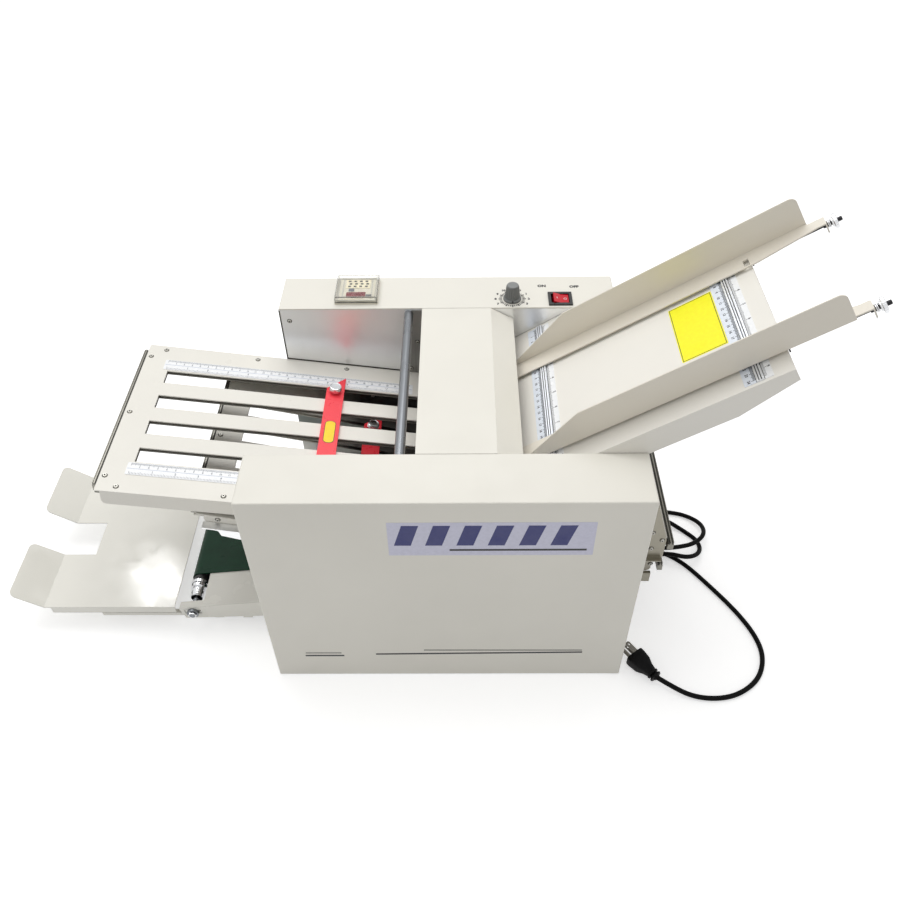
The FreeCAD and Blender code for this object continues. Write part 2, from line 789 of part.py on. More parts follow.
# ---------------------------------------------------------------- side guides
clip_at = guide_tongue_end - guide_sheet
rod_above = guide_floor - 5.5
hook_at = table_upper_end + slide_fit


def side_guide(name, wall_y, wall_top, side):
    """A guide: upright wall, flange towards the middle, tongue with a turned-down clip, and its clamp."""
    floor = guide_floor
    wall_range = span(side, abs(wall_y) - guide_sheet, abs(wall_y))
    outline = [(guide_low_end, floor), (guide_high_end, floor), (guide_high_end, wall_top),
               (guide_slope_end, wall_top), (guide_low_end, floor + 2)]
    wall = prism_y(outline, *wall_range)
    middles = [(edge, edge.CenterOfMass) for edge in wall.Edges]
    corner = [edge for edge, at in middles if abs(at.x - guide_high_end) < 0.01 and abs(at.z - wall_top) < 0.01]
    wall = wall.makeFillet(guide_corner, corner)
    inner = wall_y - side * guide_flange
    tongue_inner = wall_y - side * 16.5
    tongue_outer = wall_y - side * 3.5
    flange_points = [(guide_low_end, inner), (table_upper_end + 6, inner), (guide_high_end + 8, tongue_inner),
                     (guide_tongue_end, tongue_inner), (guide_tongue_end, tongue_outer),
                     (guide_high_end + 0.5, tongue_outer), (guide_high_end, wall_y), (guide_low_end, wall_y)]
    flange = prism_z(flange_points, floor, floor + guide_sheet)
    clip_y = sorted((tongue_inner, tongue_outer))
    clip = box(clip_at, guide_tongue_end, *clip_y, rod_above - 5.5, floor + guide_sheet)
    window_y = sorted((wall_y - side * 23, wall_y - side * 12))
    window = box(137.5, 143.5, *window_y, floor - 1, floor + 5)
    rod_y_at = (tongue_inner + tongue_outer) / 2
    rod = rod_x(clamp_rod_d / 2, rod_y_at, rod_above, hook_at + 1, clamp_rod_tip)
    rod_hole = rod_x(clamp_rod_d / 2 + shaft_fit, rod_y_at, rod_above, clip_at - 1, guide_tongue_end + 1)
    guide = cut(fuse([wall, flange, clip]), [rod_hole, window])
    hook = box(hook_at, hook_at + 5, rod_y_at - 3.5, rod_y_at + 3.5, rod_above - 4.5, guide_floor - seat / 2)
    nut_start = guide_tongue_end + 5
    nut_end = nut_start + clamp_nut_width
    line = (rod_y_at, rod_above)
    spring = rod_x(4.6, *line, guide_tongue_end, nut_start - 0.1)
    spring = spring.cut(rod_x(clamp_rod_d / 2 + 0.4, *line, guide_tongue_end - 1, nut_start + 1))
    nut = rod_x(clamp_nut_d / 2, *line, nut_start, nut_end)
    nut = nut.cut(rod_x(clamp_rod_d / 2 + shaft_fit, *line, nut_start - 1, nut_end + 1))
    keep(name + "_guide", table_placed(guide))
    keep(name + "_guide_clamp", table_placed(fuse([hook, rod])), table_placed(spring))
    keep(name + "_guide_nut", table_placed(nut))
    x, z = on_table(nut_start + clamp_nut_width / 2, rod_above)
    return x, rod_y_at, z


guide_nuts = {"front": side_guide("front", front_guide_y, front_guide_wall, -1),
              "rear": side_guide("rear", rear_guide_y, rear_guide_wall, 1)}


# ---------------------------------------------------------------- hood
def hood_cover():
    """The lift-off hood: top, left wall, bevelled right side, lip and two end cheeks."""
    right_z = hood_top - hood_bevel_drop
    outer = [(hood_left, hood_top - hood_left_depth), (hood_left, hood_top), (hood_crease, hood_top),
             (hood_right, right_z), (hood_right, right_z - hood_lip)]
    inner = [(hood_right - hood_sheet, right_z - hood_lip), (hood_right - hood_sheet, right_z - 1.0),
             (hood_crease - 0.4, hood_top - hood_sheet), (hood_left + hood_sheet, hood_top - hood_sheet),
             (hood_left + hood_sheet, hood_top - hood_left_depth)]
    half = half_gap - slide_fit
    skin = prism_y(outer + inner, -half, half)
    cheek_low = hood_rest_z + hood_rest_r + seat
    cheek = [(hood_left, cheek_low), (hood_left, hood_top), (hood_crease, hood_top), (hood_right, right_z),
             (hood_right, cheek_low + 6), (hood_right - 6, cheek_low)]
    cheeks = both_sides(lambda side: prism_y(cheek, *span(side, half - hood_sheet, half)))
    return fuse([skin] + cheeks)


keep("hood_cover", hood_cover())


# ---------------------------------------------------------------- delivery conveyor
def tray_bracket(x, side):
    """A closed loop on a side rail that one of the tray's arms slides through."""
    wall = tray_bracket_wall
    inner = tray_arm_y - tray_arm_width / 2 - seat
    outer = tray_arm_y + tray_arm_width / 2 + seat
    low = tray_arm_z - seat
    high = tray_arm_z + tray_arm_height + seat
    loop = box(x - 6, x + 6, *span(side, inner - wall, conveyor_width / 2), low - wall, high + wall)
    return loop.cut(box(x - 7, x + 7, *span(side, inner, outer), low, high))


def conveyor_bed():
    """Bed sheet, side rails with a top lip, axle slots and the loops that guide the tray's arms."""
    half = conveyor_width / 2
    bottom_rise = math.tan(math.radians(rail_bottom_tilt))
    right_bottom = rail_bottom_left_z + (rail_right_x - rail_left_x) * bottom_rise
    left_top = bed_top(rail_left_x)
    rail = [(rail_left_x, left_top - 2), (rail_left_x + 5, rail_bottom_left_z), (rail_right_x, right_bottom),
            (rail_right_x, bed_top(rail_right_x)), (rail_left_x, left_top)]
    parts = both_sides(lambda side: prism_y(rail, *span(side, half - conveyor_sheet, half)))
    bed_start = idler_x + belt_r + belt_sheet + 3
    bed_end = drive_x - belt_r - belt_sheet - 3

    def sloped(x0, x1, y0, y1):
        z0, z1 = bed_top(x0), bed_top(x1)
        outline = [(x0, z0), (x0, z0 - conveyor_sheet), (x1, z1 - conveyor_sheet), (x1, z1)]
        return prism_y(outline, y0, y1)

    parts.append(sloped(bed_start, bed_end, -half, half))
    parts.extend(both_sides(lambda side: sloped(rail_left_x, bed_start + 0.01, *span(side, half - 10, half))))
    for x in tray_bracket_x:
        parts.extend(both_sides(lambda side: tray_bracket(x, side)))
    bed = fuse(parts)
    slots = []
    slot_half = axle_d / 2 + shaft_fit
    for side in (-1, 1):
        y0, y1 = span(side, half - 4, half + 1)
        slots.append(box(idler_x - 11, idler_x + 11, y0, y1, idler_z - slot_half, idler_z + slot_half))
        slots.append(rod_y(slot_half, drive_x, drive_z, y0, y1))
    for x, z in lower_ties[:1]:
        slots.append(rod_y(tie_rod_d / 2 + 3, x, z, -half - 1, half + 1))
    return cut(bed, slots)


standoff_x = (60.0, 150.0)


def standoffs():
    """Round spacers between the conveyor's rails and the side frames."""
    spacers = []
    for x in standoff_x:
        z = bed_top(x) - 12
        for side in (-1, 1):
            spacers.append(rod_y(6, x, z, *span(side, conveyor_width / 2, half_gap)))
    return spacers


keep("conveyor_bed", conveyor_bed(), *standoffs())
belt_half = belt_width / 2
keep("conveyor_belt", band(idler_x, idler_z, belt_r, drive_x, drive_z, belt_r, belt_sheet, -belt_half, belt_half))

collar_r = 10.4
idler_half = 76.5
collar_end = 87.0
hub_end = 101.0
idler_at = (idler_x, idler_z)
idler_body = rod_y(belt_r, *idler_at, -idler_half, idler_half)
idler_collars = both_sides(lambda side: rod_y(collar_r, *idler_at, *span(side, idler_half - 0.01, collar_end)))
idler_bore = rod_y(axle_d / 2 + shaft_fit, *idler_at, -collar_end - 1, collar_end + 1)
keep("conveyor_idler_roller", fuse([idler_body] + idler_collars).cut(idler_bore))

axle_nut_r = 7.5
axle_half = conveyor_width / 2
axle_r = axle_d / 2
axle = rod_y(axle_r, *idler_at, -axle_half - 6.5, axle_half + 5.5)
axle_nuts = both_sides(lambda side: ring_y(axle_nut_r, axle_r, *idler_at, *span(side, axle_half, axle_half + 4)))
axle_caps = both_sides(lambda side: ring_y(7.6, axle_r, *idler_at, *span(side, collar_end + seat, hub_end)))
keep("conveyor_axle", axle, *axle_nuts, *axle_caps)

keep("conveyor_drive_roller",
     fuse([rod_y(belt_r, drive_x, drive_z, -idler_half, idler_half),
           rod_y(axle_d / 2, drive_x, drive_z, -frame_outer - 1.5, pulley_outer_y + 2)]),
     ring_y(conveyor_pulley_r, axle_d / 2, drive_x, drive_z, pulley_inner_y, pulley_outer_y))


# ---------------------------------------------------------------- delivery tray
def delivery_tray():
    """Tray sheet with a notch between two raised tabs, side flanges and the arms it slides on."""
    y0 = tray_centre_y - tray_width / 2
    y1 = tray_centre_y + tray_width / 2
    notch0 = tray_centre_y - tray_notch / 2
    notch1 = tray_centre_y + tray_notch / 2
    floor = tray_z - tray_sheet
    sheet = box(tray_fold_x, tray_right_x, y0, y1, floor, tray_z)
    notch = box(tray_fold_x - 1, tray_fold_x + tray_notch_depth, notch0, notch1, floor - 1, tray_z + 1)
    flanges = [box(tray_fold_x + 8, tray_right_x, y, y + tray_sheet, tray_z - tray_flange, tray_z)
               for y in (y0, y1 - tray_sheet)]
    lean = math.atan2(tray_tab_rise, tray_tab_run)
    reach = math.hypot(tray_tab_run, tray_tab_rise)
    tabs = []
    for left, right in ((y0, notch0), (notch1, y1)):
        tab = box(-reach, 1, left, right, -tray_sheet, 0)
        middles = [(edge, edge.CenterOfMass) for edge in tab.Edges]
        corners = [edge for edge, at in middles if abs(at.x + reach) < 0.01 and abs(at.z + tray_sheet / 2) < 0.01]
        tab = tab.makeFillet(tray_corner, corners)
        tabs.append(placed(tab, tray_fold_x, tray_z, math.degrees(lean)))
    arm_top = tray_arm_z + tray_arm_height
    bar_end = tray_cross_bar_x + tray_cross_bar_width
    outer = tray_arm_y + tray_arm_width / 2
    arms = [box(tray_cross_bar_x, bar_end, -outer, outer, tray_arm_z, arm_top)]
    for side in (-1, 1):
        arm_y = span(side, outer - tray_arm_width, outer)
        arms.append(box(tray_cross_bar_x, tray_arm_end_x, *arm_y, tray_arm_z, arm_top))
        post_y = tray_centre_y + side * 60
        arms.append(box(tray_cross_bar_x, bar_end, post_y - 10, post_y + 10, tray_arm_z, floor + 0.01))
    return fuse([sheet.cut(notch)] + flanges + tabs + arms)


keep("delivery_tray", delivery_tray())

# ---------------------------------------------------------------- control panel
bezel_half = counter_bezel / 2
counter_case = block(counter_at, counter_half, counter_half, panel_under - counter_depth, cover_top)
counter_flange = block(counter_at, bezel_half, bezel_half - 1, cover_top, cover_top + 2)
counter_face = block(counter_at, counter_half, counter_half, cover_top + 1, cover_top + 4)
button_at = (counter_x + 15, counter_y - 15)
button_half = 3.5
button_well = block(button_at, button_half + running, button_half + running, cover_top + 0.8, cover_top + 8)
keep("counter_body", fuse([counter_case, counter_flange, counter_face]).cut(button_well))
keep("counter_button", block(button_at, button_half, button_half, cover_top + 2.6, cover_top + 4.4))
lid_wall = 1.4
lid_floor = cover_top + 2 + seat
lid_top = lid_floor + counter_lid_height
lid_outer = block(counter_at, bezel_half, bezel_half - 1, lid_floor, lid_top)
lid_rim = [edge for edge in lid_outer.Edges if abs(edge.CenterOfMass.z - lid_top) < 0.01]
lid_outer = lid_outer.makeChamfer(1.8, lid_rim)
lid_inner = block(counter_at, bezel_half - lid_wall, bezel_half - 1 - lid_wall, lid_floor - 1, lid_top - lid_wall)
keep("counter_lid", lid_outer.cut(lid_inner))

knob_skirt = rod_z(knob_base_d / 2, knob_x, knob_y, cover_top + seat, cover_top + seat + 3)
grip_foot = V(knob_x, knob_y, cover_top + seat + 3)
knob_grip = Part.makeCone(knob_base_d / 2 - 1.8, knob_top_d / 2, knob_height - 3, grip_foot, AXIS_Z)
knob_stem = rod_z(3.0, knob_x, knob_y, panel_under - 8, cover_top + 3)
keep("speed_knob", fuse([knob_skirt, knob_grip, knob_stem]))

bezel_top = cover_top + rocker_bezel_height
bezel = block(rocker_at, rocker_length / 2, rocker_width / 2, cover_top, bezel_top)
case_half = (rocker_length / 2 - 2.3, rocker_width / 2 - 2.3)
switch_case = block(rocker_at, *case_half, cover_top - 22, cover_top + 1)
rocker_half = rocker_length / 2 - 4.2
rocker_side = rocker_width / 2 - 4.2
rocker_well = block(rocker_at, rocker_half + 0.6, rocker_side + running, cover_top - 12, cover_top + 5)
keep("switch_bezel", fuse([bezel, switch_case]).cut(rocker_well))
rocker_pivot_z = cover_top - 4.0
rocker_outline = [(-9.76, 6.4), (-8.5, -5.0), (0, -6.5), (8.5, -5.0), (9.76, 6.4), (0, 5.2)]
rocker_points = [(rocker_x + x, rocker_pivot_z + z) for x, z in rocker_outline]
rocker = prism_y(rocker_points, rocker_y - rocker_side, rocker_y + rocker_side)
rocker.rotate(V(rocker_x, rocker_y, rocker_pivot_z), AXIS_Y, rocker_throw / 2)
keep("switch_rocker", rocker)

board_x = 190.0
board_z = 160.0
board_half_length = 60.0
board_half_height = 40.0
board_thick = 1.6
board_post_inset = 6.0
chip_half = 8.0
chip_pitch = 26.0
chip_depth = 12.0
board_y = half_width - 12.0
board_ends = (board_x - board_half_length, board_x + board_half_length)
board_edges = (board_z - board_half_height, board_z + board_half_height)
board = box(*board_ends, board_y, board_y + board_thick, *board_edges)
chip_z = (board_z - chip_half, board_z + chip_half)
chip_places = [board_x - 42.0 + chip_pitch * number for number in range(4)]
board_chips = [box(x - chip_half, x + chip_half, board_y - chip_depth, board_y, *chip_z) for x in chip_places]
post_y = (board_y + board_thick, half_width - cover_sheet)
board_posts = []
for x in (board_ends[0] + board_post_inset, board_ends[1] - board_post_inset):
    for z in (board_edges[0] + board_post_inset, board_edges[1] - board_post_inset):
        board_posts.append(rod_y(3, x, z, *post_y))
keep("control_board", fuse([board] + board_chips + board_posts))

# ---------------------------------------------------------------- screws of the frames
cover_screws = ((12.0, 307.6), (173.1, 273.3), (163.2, 229.4))
arm_screws = ((460.0, 187.0), (447.4, 200.5), (449.5, 172.0))
left_flange_screw = on_spec(plate_specs["lower_left"], lower_left_length - 27.2, -2.2)
right_flange_screw = on_spec(plate_specs["lower_right"], lower_right_length - 7.0, -4.8)
frame_screws = []
for side in (-1, 1):
    for x, z in cover_screws:
        frame_screws.append(rod_y(2.6, x, z, *span(side, half_gap - 1.6, half_gap)))
    for x, z in arm_screws:
        frame_screws.append(rod_y(2.6, x, z, *span(side, frame_outer, frame_outer + 1.6)))
    for x, z in (left_flange_screw, right_flange_screw):
        frame_screws.append(rod_y(2.4, x, z, *span(side, plate_width / 2, plate_width / 2 + 1.6)))
    for x, z in tie_places:
        frame_screws.append(rod_y(5.0, x, z, *span(side, frame_outer, frame_outer + 4)))
keep("machine_screws", *plate_screws, *frame_screws)

# ---------------------------------------------------------------- mains cord
cord_r = cord_d / 2
relief_length = 30.0
relief_end_x = cover_length + relief_length
flange_ring = rod_x(10.0, cord_exit_y, cord_exit_z, cover_length, cover_length + 2.5)
relief_neck = rod_x(gland_r - 0.1, cord_exit_y, cord_exit_z, cover_length - cover_sheet - 4, cover_length)
cone_foot = V(cover_length + 2.5, cord_exit_y, cord_exit_z)
relief_cone = Part.makeCone(6.5, cord_r + 1.0, relief_length - 2.5, cone_foot, V(1, 0, 0))
keep("strain_relief", fuse([flange_ring, relief_neck, relief_cone]))

floor_z = cord_r + 0.05
hump_z = floor_z + 2 * cord_d
plug_z = 11.5
route = [
    (relief_end_x + seat, cord_exit_y, cord_exit_z),
    (473, 158, 45),
    (492, 152, 35),
    (502, 134, 19),
    (497, 111, 6),
    (480, 93, floor_z),
    (458, 78, floor_z),
    (444, 56, floor_z),
    (440, 30, floor_z),
    (449, 5, floor_z),
    (471, -10, floor_z),
    (496, -14, 7),
    (516, -18, hump_z),
    (541, -26, hump_z),
    (562, -11, 8),
    (564, 14, floor_z),
    (546, 33, floor_z),
    (524, 48, 8),
    (500, 52, hump_z),
    (479, 41, hump_z),
    (472, 18, hump_z),
    (484, -3, hump_z),
    (507, -9, hump_z),
    (531, -7, hump_z),
    (554, -1, hump_z),
    (572, 16, hump_z),
    (573, 42, 8),
    (554, 62, floor_z),
    (528, 68, floor_z),
    (501, 70, floor_z),
    (475, 62, floor_z),
    (457, 41, floor_z),
    (459, 15, floor_z),
    (479, -1, floor_z),
    (503, -4, floor_z),
    (521, -13, floor_z),
    (540, -30, floor_z),
    (563, -62, floor_z),
    (590, -103, floor_z),
    (607, -140, floor_z),
    (611, -172, floor_z),
    (598, -204, floor_z),
    (570, -225, floor_z),
    (541, -232, floor_z),
    (510, -229, floor_z + 1),
    (484, -217, plug_z - 2),
    (467.5, -205.5, plug_z),
]


def cord_tube(points, radius):
    """Straight runs joined by tangent arcs, each as large as its two runs allow."""
    stops = [V(*point) for point in points]
    edges = []
    radii = []
    last = stops[0]
    for before, corner, after in zip(stops, stops[1:], stops[2:]):
        back = before - corner
        ahead = after - corner
        shorter = min(back.Length, ahead.Length)
        back.normalize()
        ahead.normalize()
        half_turn = (math.pi - back.getAngle(ahead)) / 2
        trim = 0.45 * shorter
        bend = trim / math.tan(half_turn)
        radii.append(round(bend, 1))
        middle = back + ahead
        middle.normalize()
        arc_start = corner + back * trim
        arc_end = corner + ahead * trim
        arc_middle = corner + middle * (bend / math.cos(half_turn) - bend)
        edges.append(Part.LineSegment(last, arc_start).toShape())
        edges.append(Part.Arc(arc_start, arc_middle, arc_end).toShape())
        last = arc_end
    edges.append(Part.LineSegment(last, stops[-1]).toShape())
    path = Part.Wire(edges)
    start = stops[1] - stops[0]
    profile = Part.Wire([Part.makeCircle(radius, stops[0], start)])
    tube = path.makePipeShell([profile], True, False)
    return tube, path.Length, radii


cord, cord_length, bend_radii = cord_tube(route, cord_r)
keep("power_cord", cord)
print("cord length %.0f mm, radii %s" % (cord_length, bend_radii))
print("cord volume %.0f, section times length %.0f" % (cord.Volume, math.pi * cord_r ** 2 * cord_length))

# ---------------------------------------------------------------- plug
plug_heading = math.degrees(math.atan2(34.0, -25.0))
plug_setback = 1.1
plug_x = route[-1][0] + plug_setback * math.cos(math.radians(plug_heading))
plug_y = route[-1][1] + plug_setback * math.sin(math.radians(plug_heading))
plug_reach = 44.0
plug_wide = 26.0
plug_high = 2 * plug_z - 1.0
blade_length = 16.0
blade_width = 6.4
blade_sheet = 1.5
blade_offset = 6.35


def plug_placed(shape):
    """Lay a plug piece made along +X on the desk at the cord's end."""
    moved = shape.copy()
    turn = FreeCAD.Rotation(AXIS_Z, plug_heading)
    moved.Placement = FreeCAD.Placement(V(plug_x, plug_y, plug_z), turn).multiply(moved.Placement)
    return moved


def plug_body():
    """A moulded plug: ribbed neck, waist and a broad rounded front."""
    neck = Part.makeCone(cord_r + 1.2, 7.0, 16, V(0, 0, 0), V(1, 0, 0))
    ribs = [rod_x(7.2, 0, 0, x, x + 2.4) for x in (3.0, 7.5, 12.0)]
    front = box(24, plug_reach, -plug_wide / 2, plug_wide / 2, -plug_high / 2, plug_high / 2)
    front = front.makeFillet(3.0, [edge for edge in front.Edges if abs(edge.CenterOfMass.x - plug_reach) > 1])
    waist = prism_z([(13, -6.5), (25, -plug_wide / 2 + 3), (25, plug_wide / 2 - 3), (13, 6.5)],
                    -plug_high / 2 + 3, plug_high / 2 - 3)
    return fuse([neck] + ribs + [waist, front])


def plug_blades():
    """Two flat blades and a round earth pin."""
    half = blade_sheet / 2
    blade_x = (plug_reach, plug_reach + blade_length)
    blade_z = (-3 - blade_width / 2, -3 + blade_width / 2)
    flats = [box(*blade_x, y - half, y + half, *blade_z) for y in (-blade_offset, blade_offset)]
    return flats + [rod_x(2.4, 0, 6.5, plug_reach, plug_reach + blade_length + 2)]


keep("plug_body", plug_placed(plug_body()))
keep("plug_blades", *[plug_placed(blade) for blade in plug_blades()])

# ---------------------------------------------------------------- export
tray_tip_x = tray_fold_x - tray_tab_run
rod_tip_x = on_table(clamp_rod_tip, rod_above)[0]
origin_x = (tray_tip_x + rod_tip_x) / 2
os.makedirs("parts", exist_ok=True)
for name, solids in nodes.items():
    shape = Part.makeCompound(solids) if len(solids) > 1 else solids[0]
    shape.translate(V(-origin_x, 0, 0))
    shape.exportStep("parts/%s.step" % name)
print("origin_x %.2f, %d nodes" % (origin_x, len(nodes)))


def tell(label, x, z):
    """Print a place in the exported frame."""
    print("%s x %.2f z %.2f" % (label, x - origin_x, z))


for number, (x, z) in enumerate(roller_centres):
    tell("fold roller %d" % (number + 1), x, z)
tell("feed roller", *feed_centre)
tell("conveyor drive", drive_x, drive_z)
tell("conveyor idler", idler_x, idler_z)
tell("motor", motor_x, motor_z)
for name, (x, z) in stop_screws.items():
    tell(name + " stop screw", x, z)
for name, (x, y, z) in guide_nuts.items():
    print("%s nut x %.2f y %.2f z %.2f" % (name, x - origin_x, y, z))
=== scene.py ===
"""Looks of a desk paper folding machine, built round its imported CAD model. Metres, +Z up.

Places are given in millimetres from the covers' left end, midway between the covers, at the desk,
or in the slope of the plate or table that a piece lies on. Matrices turn them into metres.
"""
import json
import math

import bmesh
import bpy
from mathutils import Matrix, Vector


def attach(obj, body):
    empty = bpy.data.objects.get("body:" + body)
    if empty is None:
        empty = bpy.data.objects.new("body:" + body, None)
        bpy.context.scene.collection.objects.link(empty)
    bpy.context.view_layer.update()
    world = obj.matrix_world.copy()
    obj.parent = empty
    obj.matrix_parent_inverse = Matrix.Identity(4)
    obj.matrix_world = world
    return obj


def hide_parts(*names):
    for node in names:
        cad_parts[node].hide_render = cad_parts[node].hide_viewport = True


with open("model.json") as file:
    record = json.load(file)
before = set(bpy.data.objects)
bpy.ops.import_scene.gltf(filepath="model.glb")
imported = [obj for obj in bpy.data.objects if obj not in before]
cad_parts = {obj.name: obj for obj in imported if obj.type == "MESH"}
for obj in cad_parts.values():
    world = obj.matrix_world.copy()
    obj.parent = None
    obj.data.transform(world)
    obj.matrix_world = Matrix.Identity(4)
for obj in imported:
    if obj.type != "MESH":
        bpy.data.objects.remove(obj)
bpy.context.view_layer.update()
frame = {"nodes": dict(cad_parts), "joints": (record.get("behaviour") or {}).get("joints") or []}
NODES = frame["nodes"]
SCENE = bpy.context.scene
MM = 0.001
METRES = Matrix.Diagonal((MM, MM, MM, 1.0))
ORIGIN_X = 142.30

# ---- camera
CAMERA_AT = Vector((0.0873, -0.7617, 0.9729))
CAMERA_YAW = math.radians(-1.09)
CAMERA_PITCH = math.radians(45.31)
CAMERA_ROLL = math.radians(-1.05)
FOCAL_PIXELS = 867.7
FRAME_PIXELS = 900.0
SENSOR_MM = 36.0
NEAREST = 0.01
FARTHEST = 20.0


def make_camera():
    """The camera, from where it stands and the three angles it looks along."""
    forward = Vector((math.sin(CAMERA_YAW) * math.cos(CAMERA_PITCH),
                      math.cos(CAMERA_YAW) * math.cos(CAMERA_PITCH), -math.sin(CAMERA_PITCH)))
    level = Vector((math.cos(CAMERA_YAW), -math.sin(CAMERA_YAW), 0.0))
    upright = level.cross(forward)
    right = level * math.cos(CAMERA_ROLL) + upright * math.sin(CAMERA_ROLL)
    up = upright * math.cos(CAMERA_ROLL) - level * math.sin(CAMERA_ROLL)
    data = bpy.data.cameras.new("camera")
    data.sensor_width = SENSOR_MM
    data.lens = FOCAL_PIXELS / FRAME_PIXELS * SENSOR_MM
    data.clip_start = NEAREST
    data.clip_end = FARTHEST
    camera = bpy.data.objects.new("camera", data)
    turn = Matrix((right, up, -forward)).transposed()
    camera.matrix_world = Matrix.Translation(CAMERA_AT) @ turn.to_4x4()
    SCENE.collection.objects.link(camera)
    SCENE.camera = camera


make_camera()

# ---- sizes shared with the CAD model
COVER_LENGTH = 425.0
COVER_TOP = 326.0
GAP_HALF = 128.0
WIDTH_HALF = 196.4
TABLE_TILT = -32.64
TABLE_REF_Z = 360.1
PLATE_OUTER = 3.0
SCALE_SHEET = 0.6
PLATES = {
    "upper_left": {"above": 1, "tilt": 8.3, "flip": True, "length": 386.3, "bar": 5.0, "half": 117.0},
    "upper_right": {"above": 2, "tilt": 1.2, "flip": False, "length": 261.5, "bar": 7.0, "half": 134.0},
    "lower_left": {"above": 3, "tilt": 14.0, "flip": True, "length": 284.0, "bar": 5.0, "half": 117.0},
    "lower_right": {"above": 4, "tilt": -1.5, "flip": False, "length": 262.0, "bar": 6.0, "half": 134.0},
}


# ---- places
def machine_point(x, y, z):
    """A point in metres, from millimetres measured from the covers' left end."""
    return Vector(((x - ORIGIN_X) * MM, y * MM, z * MM))


def about(axis, degrees):
    """A turn about one axis."""
    return Matrix.Rotation(math.radians(degrees), 4, axis)


def move(x, y, z):
    """A shift in a piece's own millimetres."""
    return Matrix.Translation((x, y, z))


def place_at(x, y, z, turn=Matrix.Identity(4)):
    """A matrix from a piece's own millimetres, turned if asked, to metres at that place."""
    return Matrix.Translation(machine_point(x, y, z)) @ turn @ METRES


def outward(side):
    """The turn that stands local z out of the front (-1) or rear (1) side."""
    return about("X", -90.0 * side)


def joint_point(name):
    """A joint's anchor in metres."""
    return Vector(next(joint["pos_m"] for joint in frame["joints"] if joint["name"] == name))


def plate_place(name):
    """The matrix of a fold plate's slope: x along the plate from its nip, z up from its middle."""
    plate = PLATES[name]
    above = joint_point("roller_%d_spin" % plate["above"])
    below = joint_point("roller_%d_spin" % (plate["above"] + 1))
    nip = (above + below) / 2
    turn = about("Y", plate["tilt"]) @ about("Z", 180.0 if plate["flip"] else 0.0)
    return Matrix.Translation((nip.x, 0.0, nip.z)) @ turn @ METRES


TABLE = place_at(COVER_LENGTH, 0.0, TABLE_REF_Z, about("Y", TABLE_TILT))


# ---- node trees
class Nodes:
    """A node tree under construction, with a short way to add and link its nodes."""

    def __init__(self, tree):
        self.tree = tree

    def put(self, socket, value):
        """Keep a value on an input, or link an output to it."""
        if isinstance(value, bpy.types.NodeSocket):
            self.tree.links.new(value, socket)
        else:
            socket.default_value = value

    def feed(self, node, **inputs):
        """Fill a node's inputs by name, with _ for a space."""
        for name, value in inputs.items():
            self.put(node.inputs[name.replace("_", " ")], value)

    def add(self, kind, **inputs):
        """One node, with its inputs filled."""
        node = self.tree.nodes.new(kind)
        self.feed(node, **inputs)
        return node

    def math(self, operation, first, second=0.0):
        """A sum, product or other step on two values or outputs."""
        node = self.add("ShaderNodeMath")
        node.operation = operation
        self.put(node.inputs[0], first)
        self.put(node.inputs[1], second)
        return node.outputs[0]


# ---- materials
def srgb(red, green, blue):
    """A colour of 0 to 255 steps as linear light."""
    def linear(step):
        share = step / 255.0
        return share / 12.92 if share <= 0.04045 else ((share + 0.055) / 1.055) ** 2.4
    return (linear(red), linear(green), linear(blue), 1.0)


def toned(colour, factor, lift=0.0):
    """A colour made darker or paler."""
    return tuple(min(part * factor + lift, 1.0) for part in colour[:3]) + (1.0,)


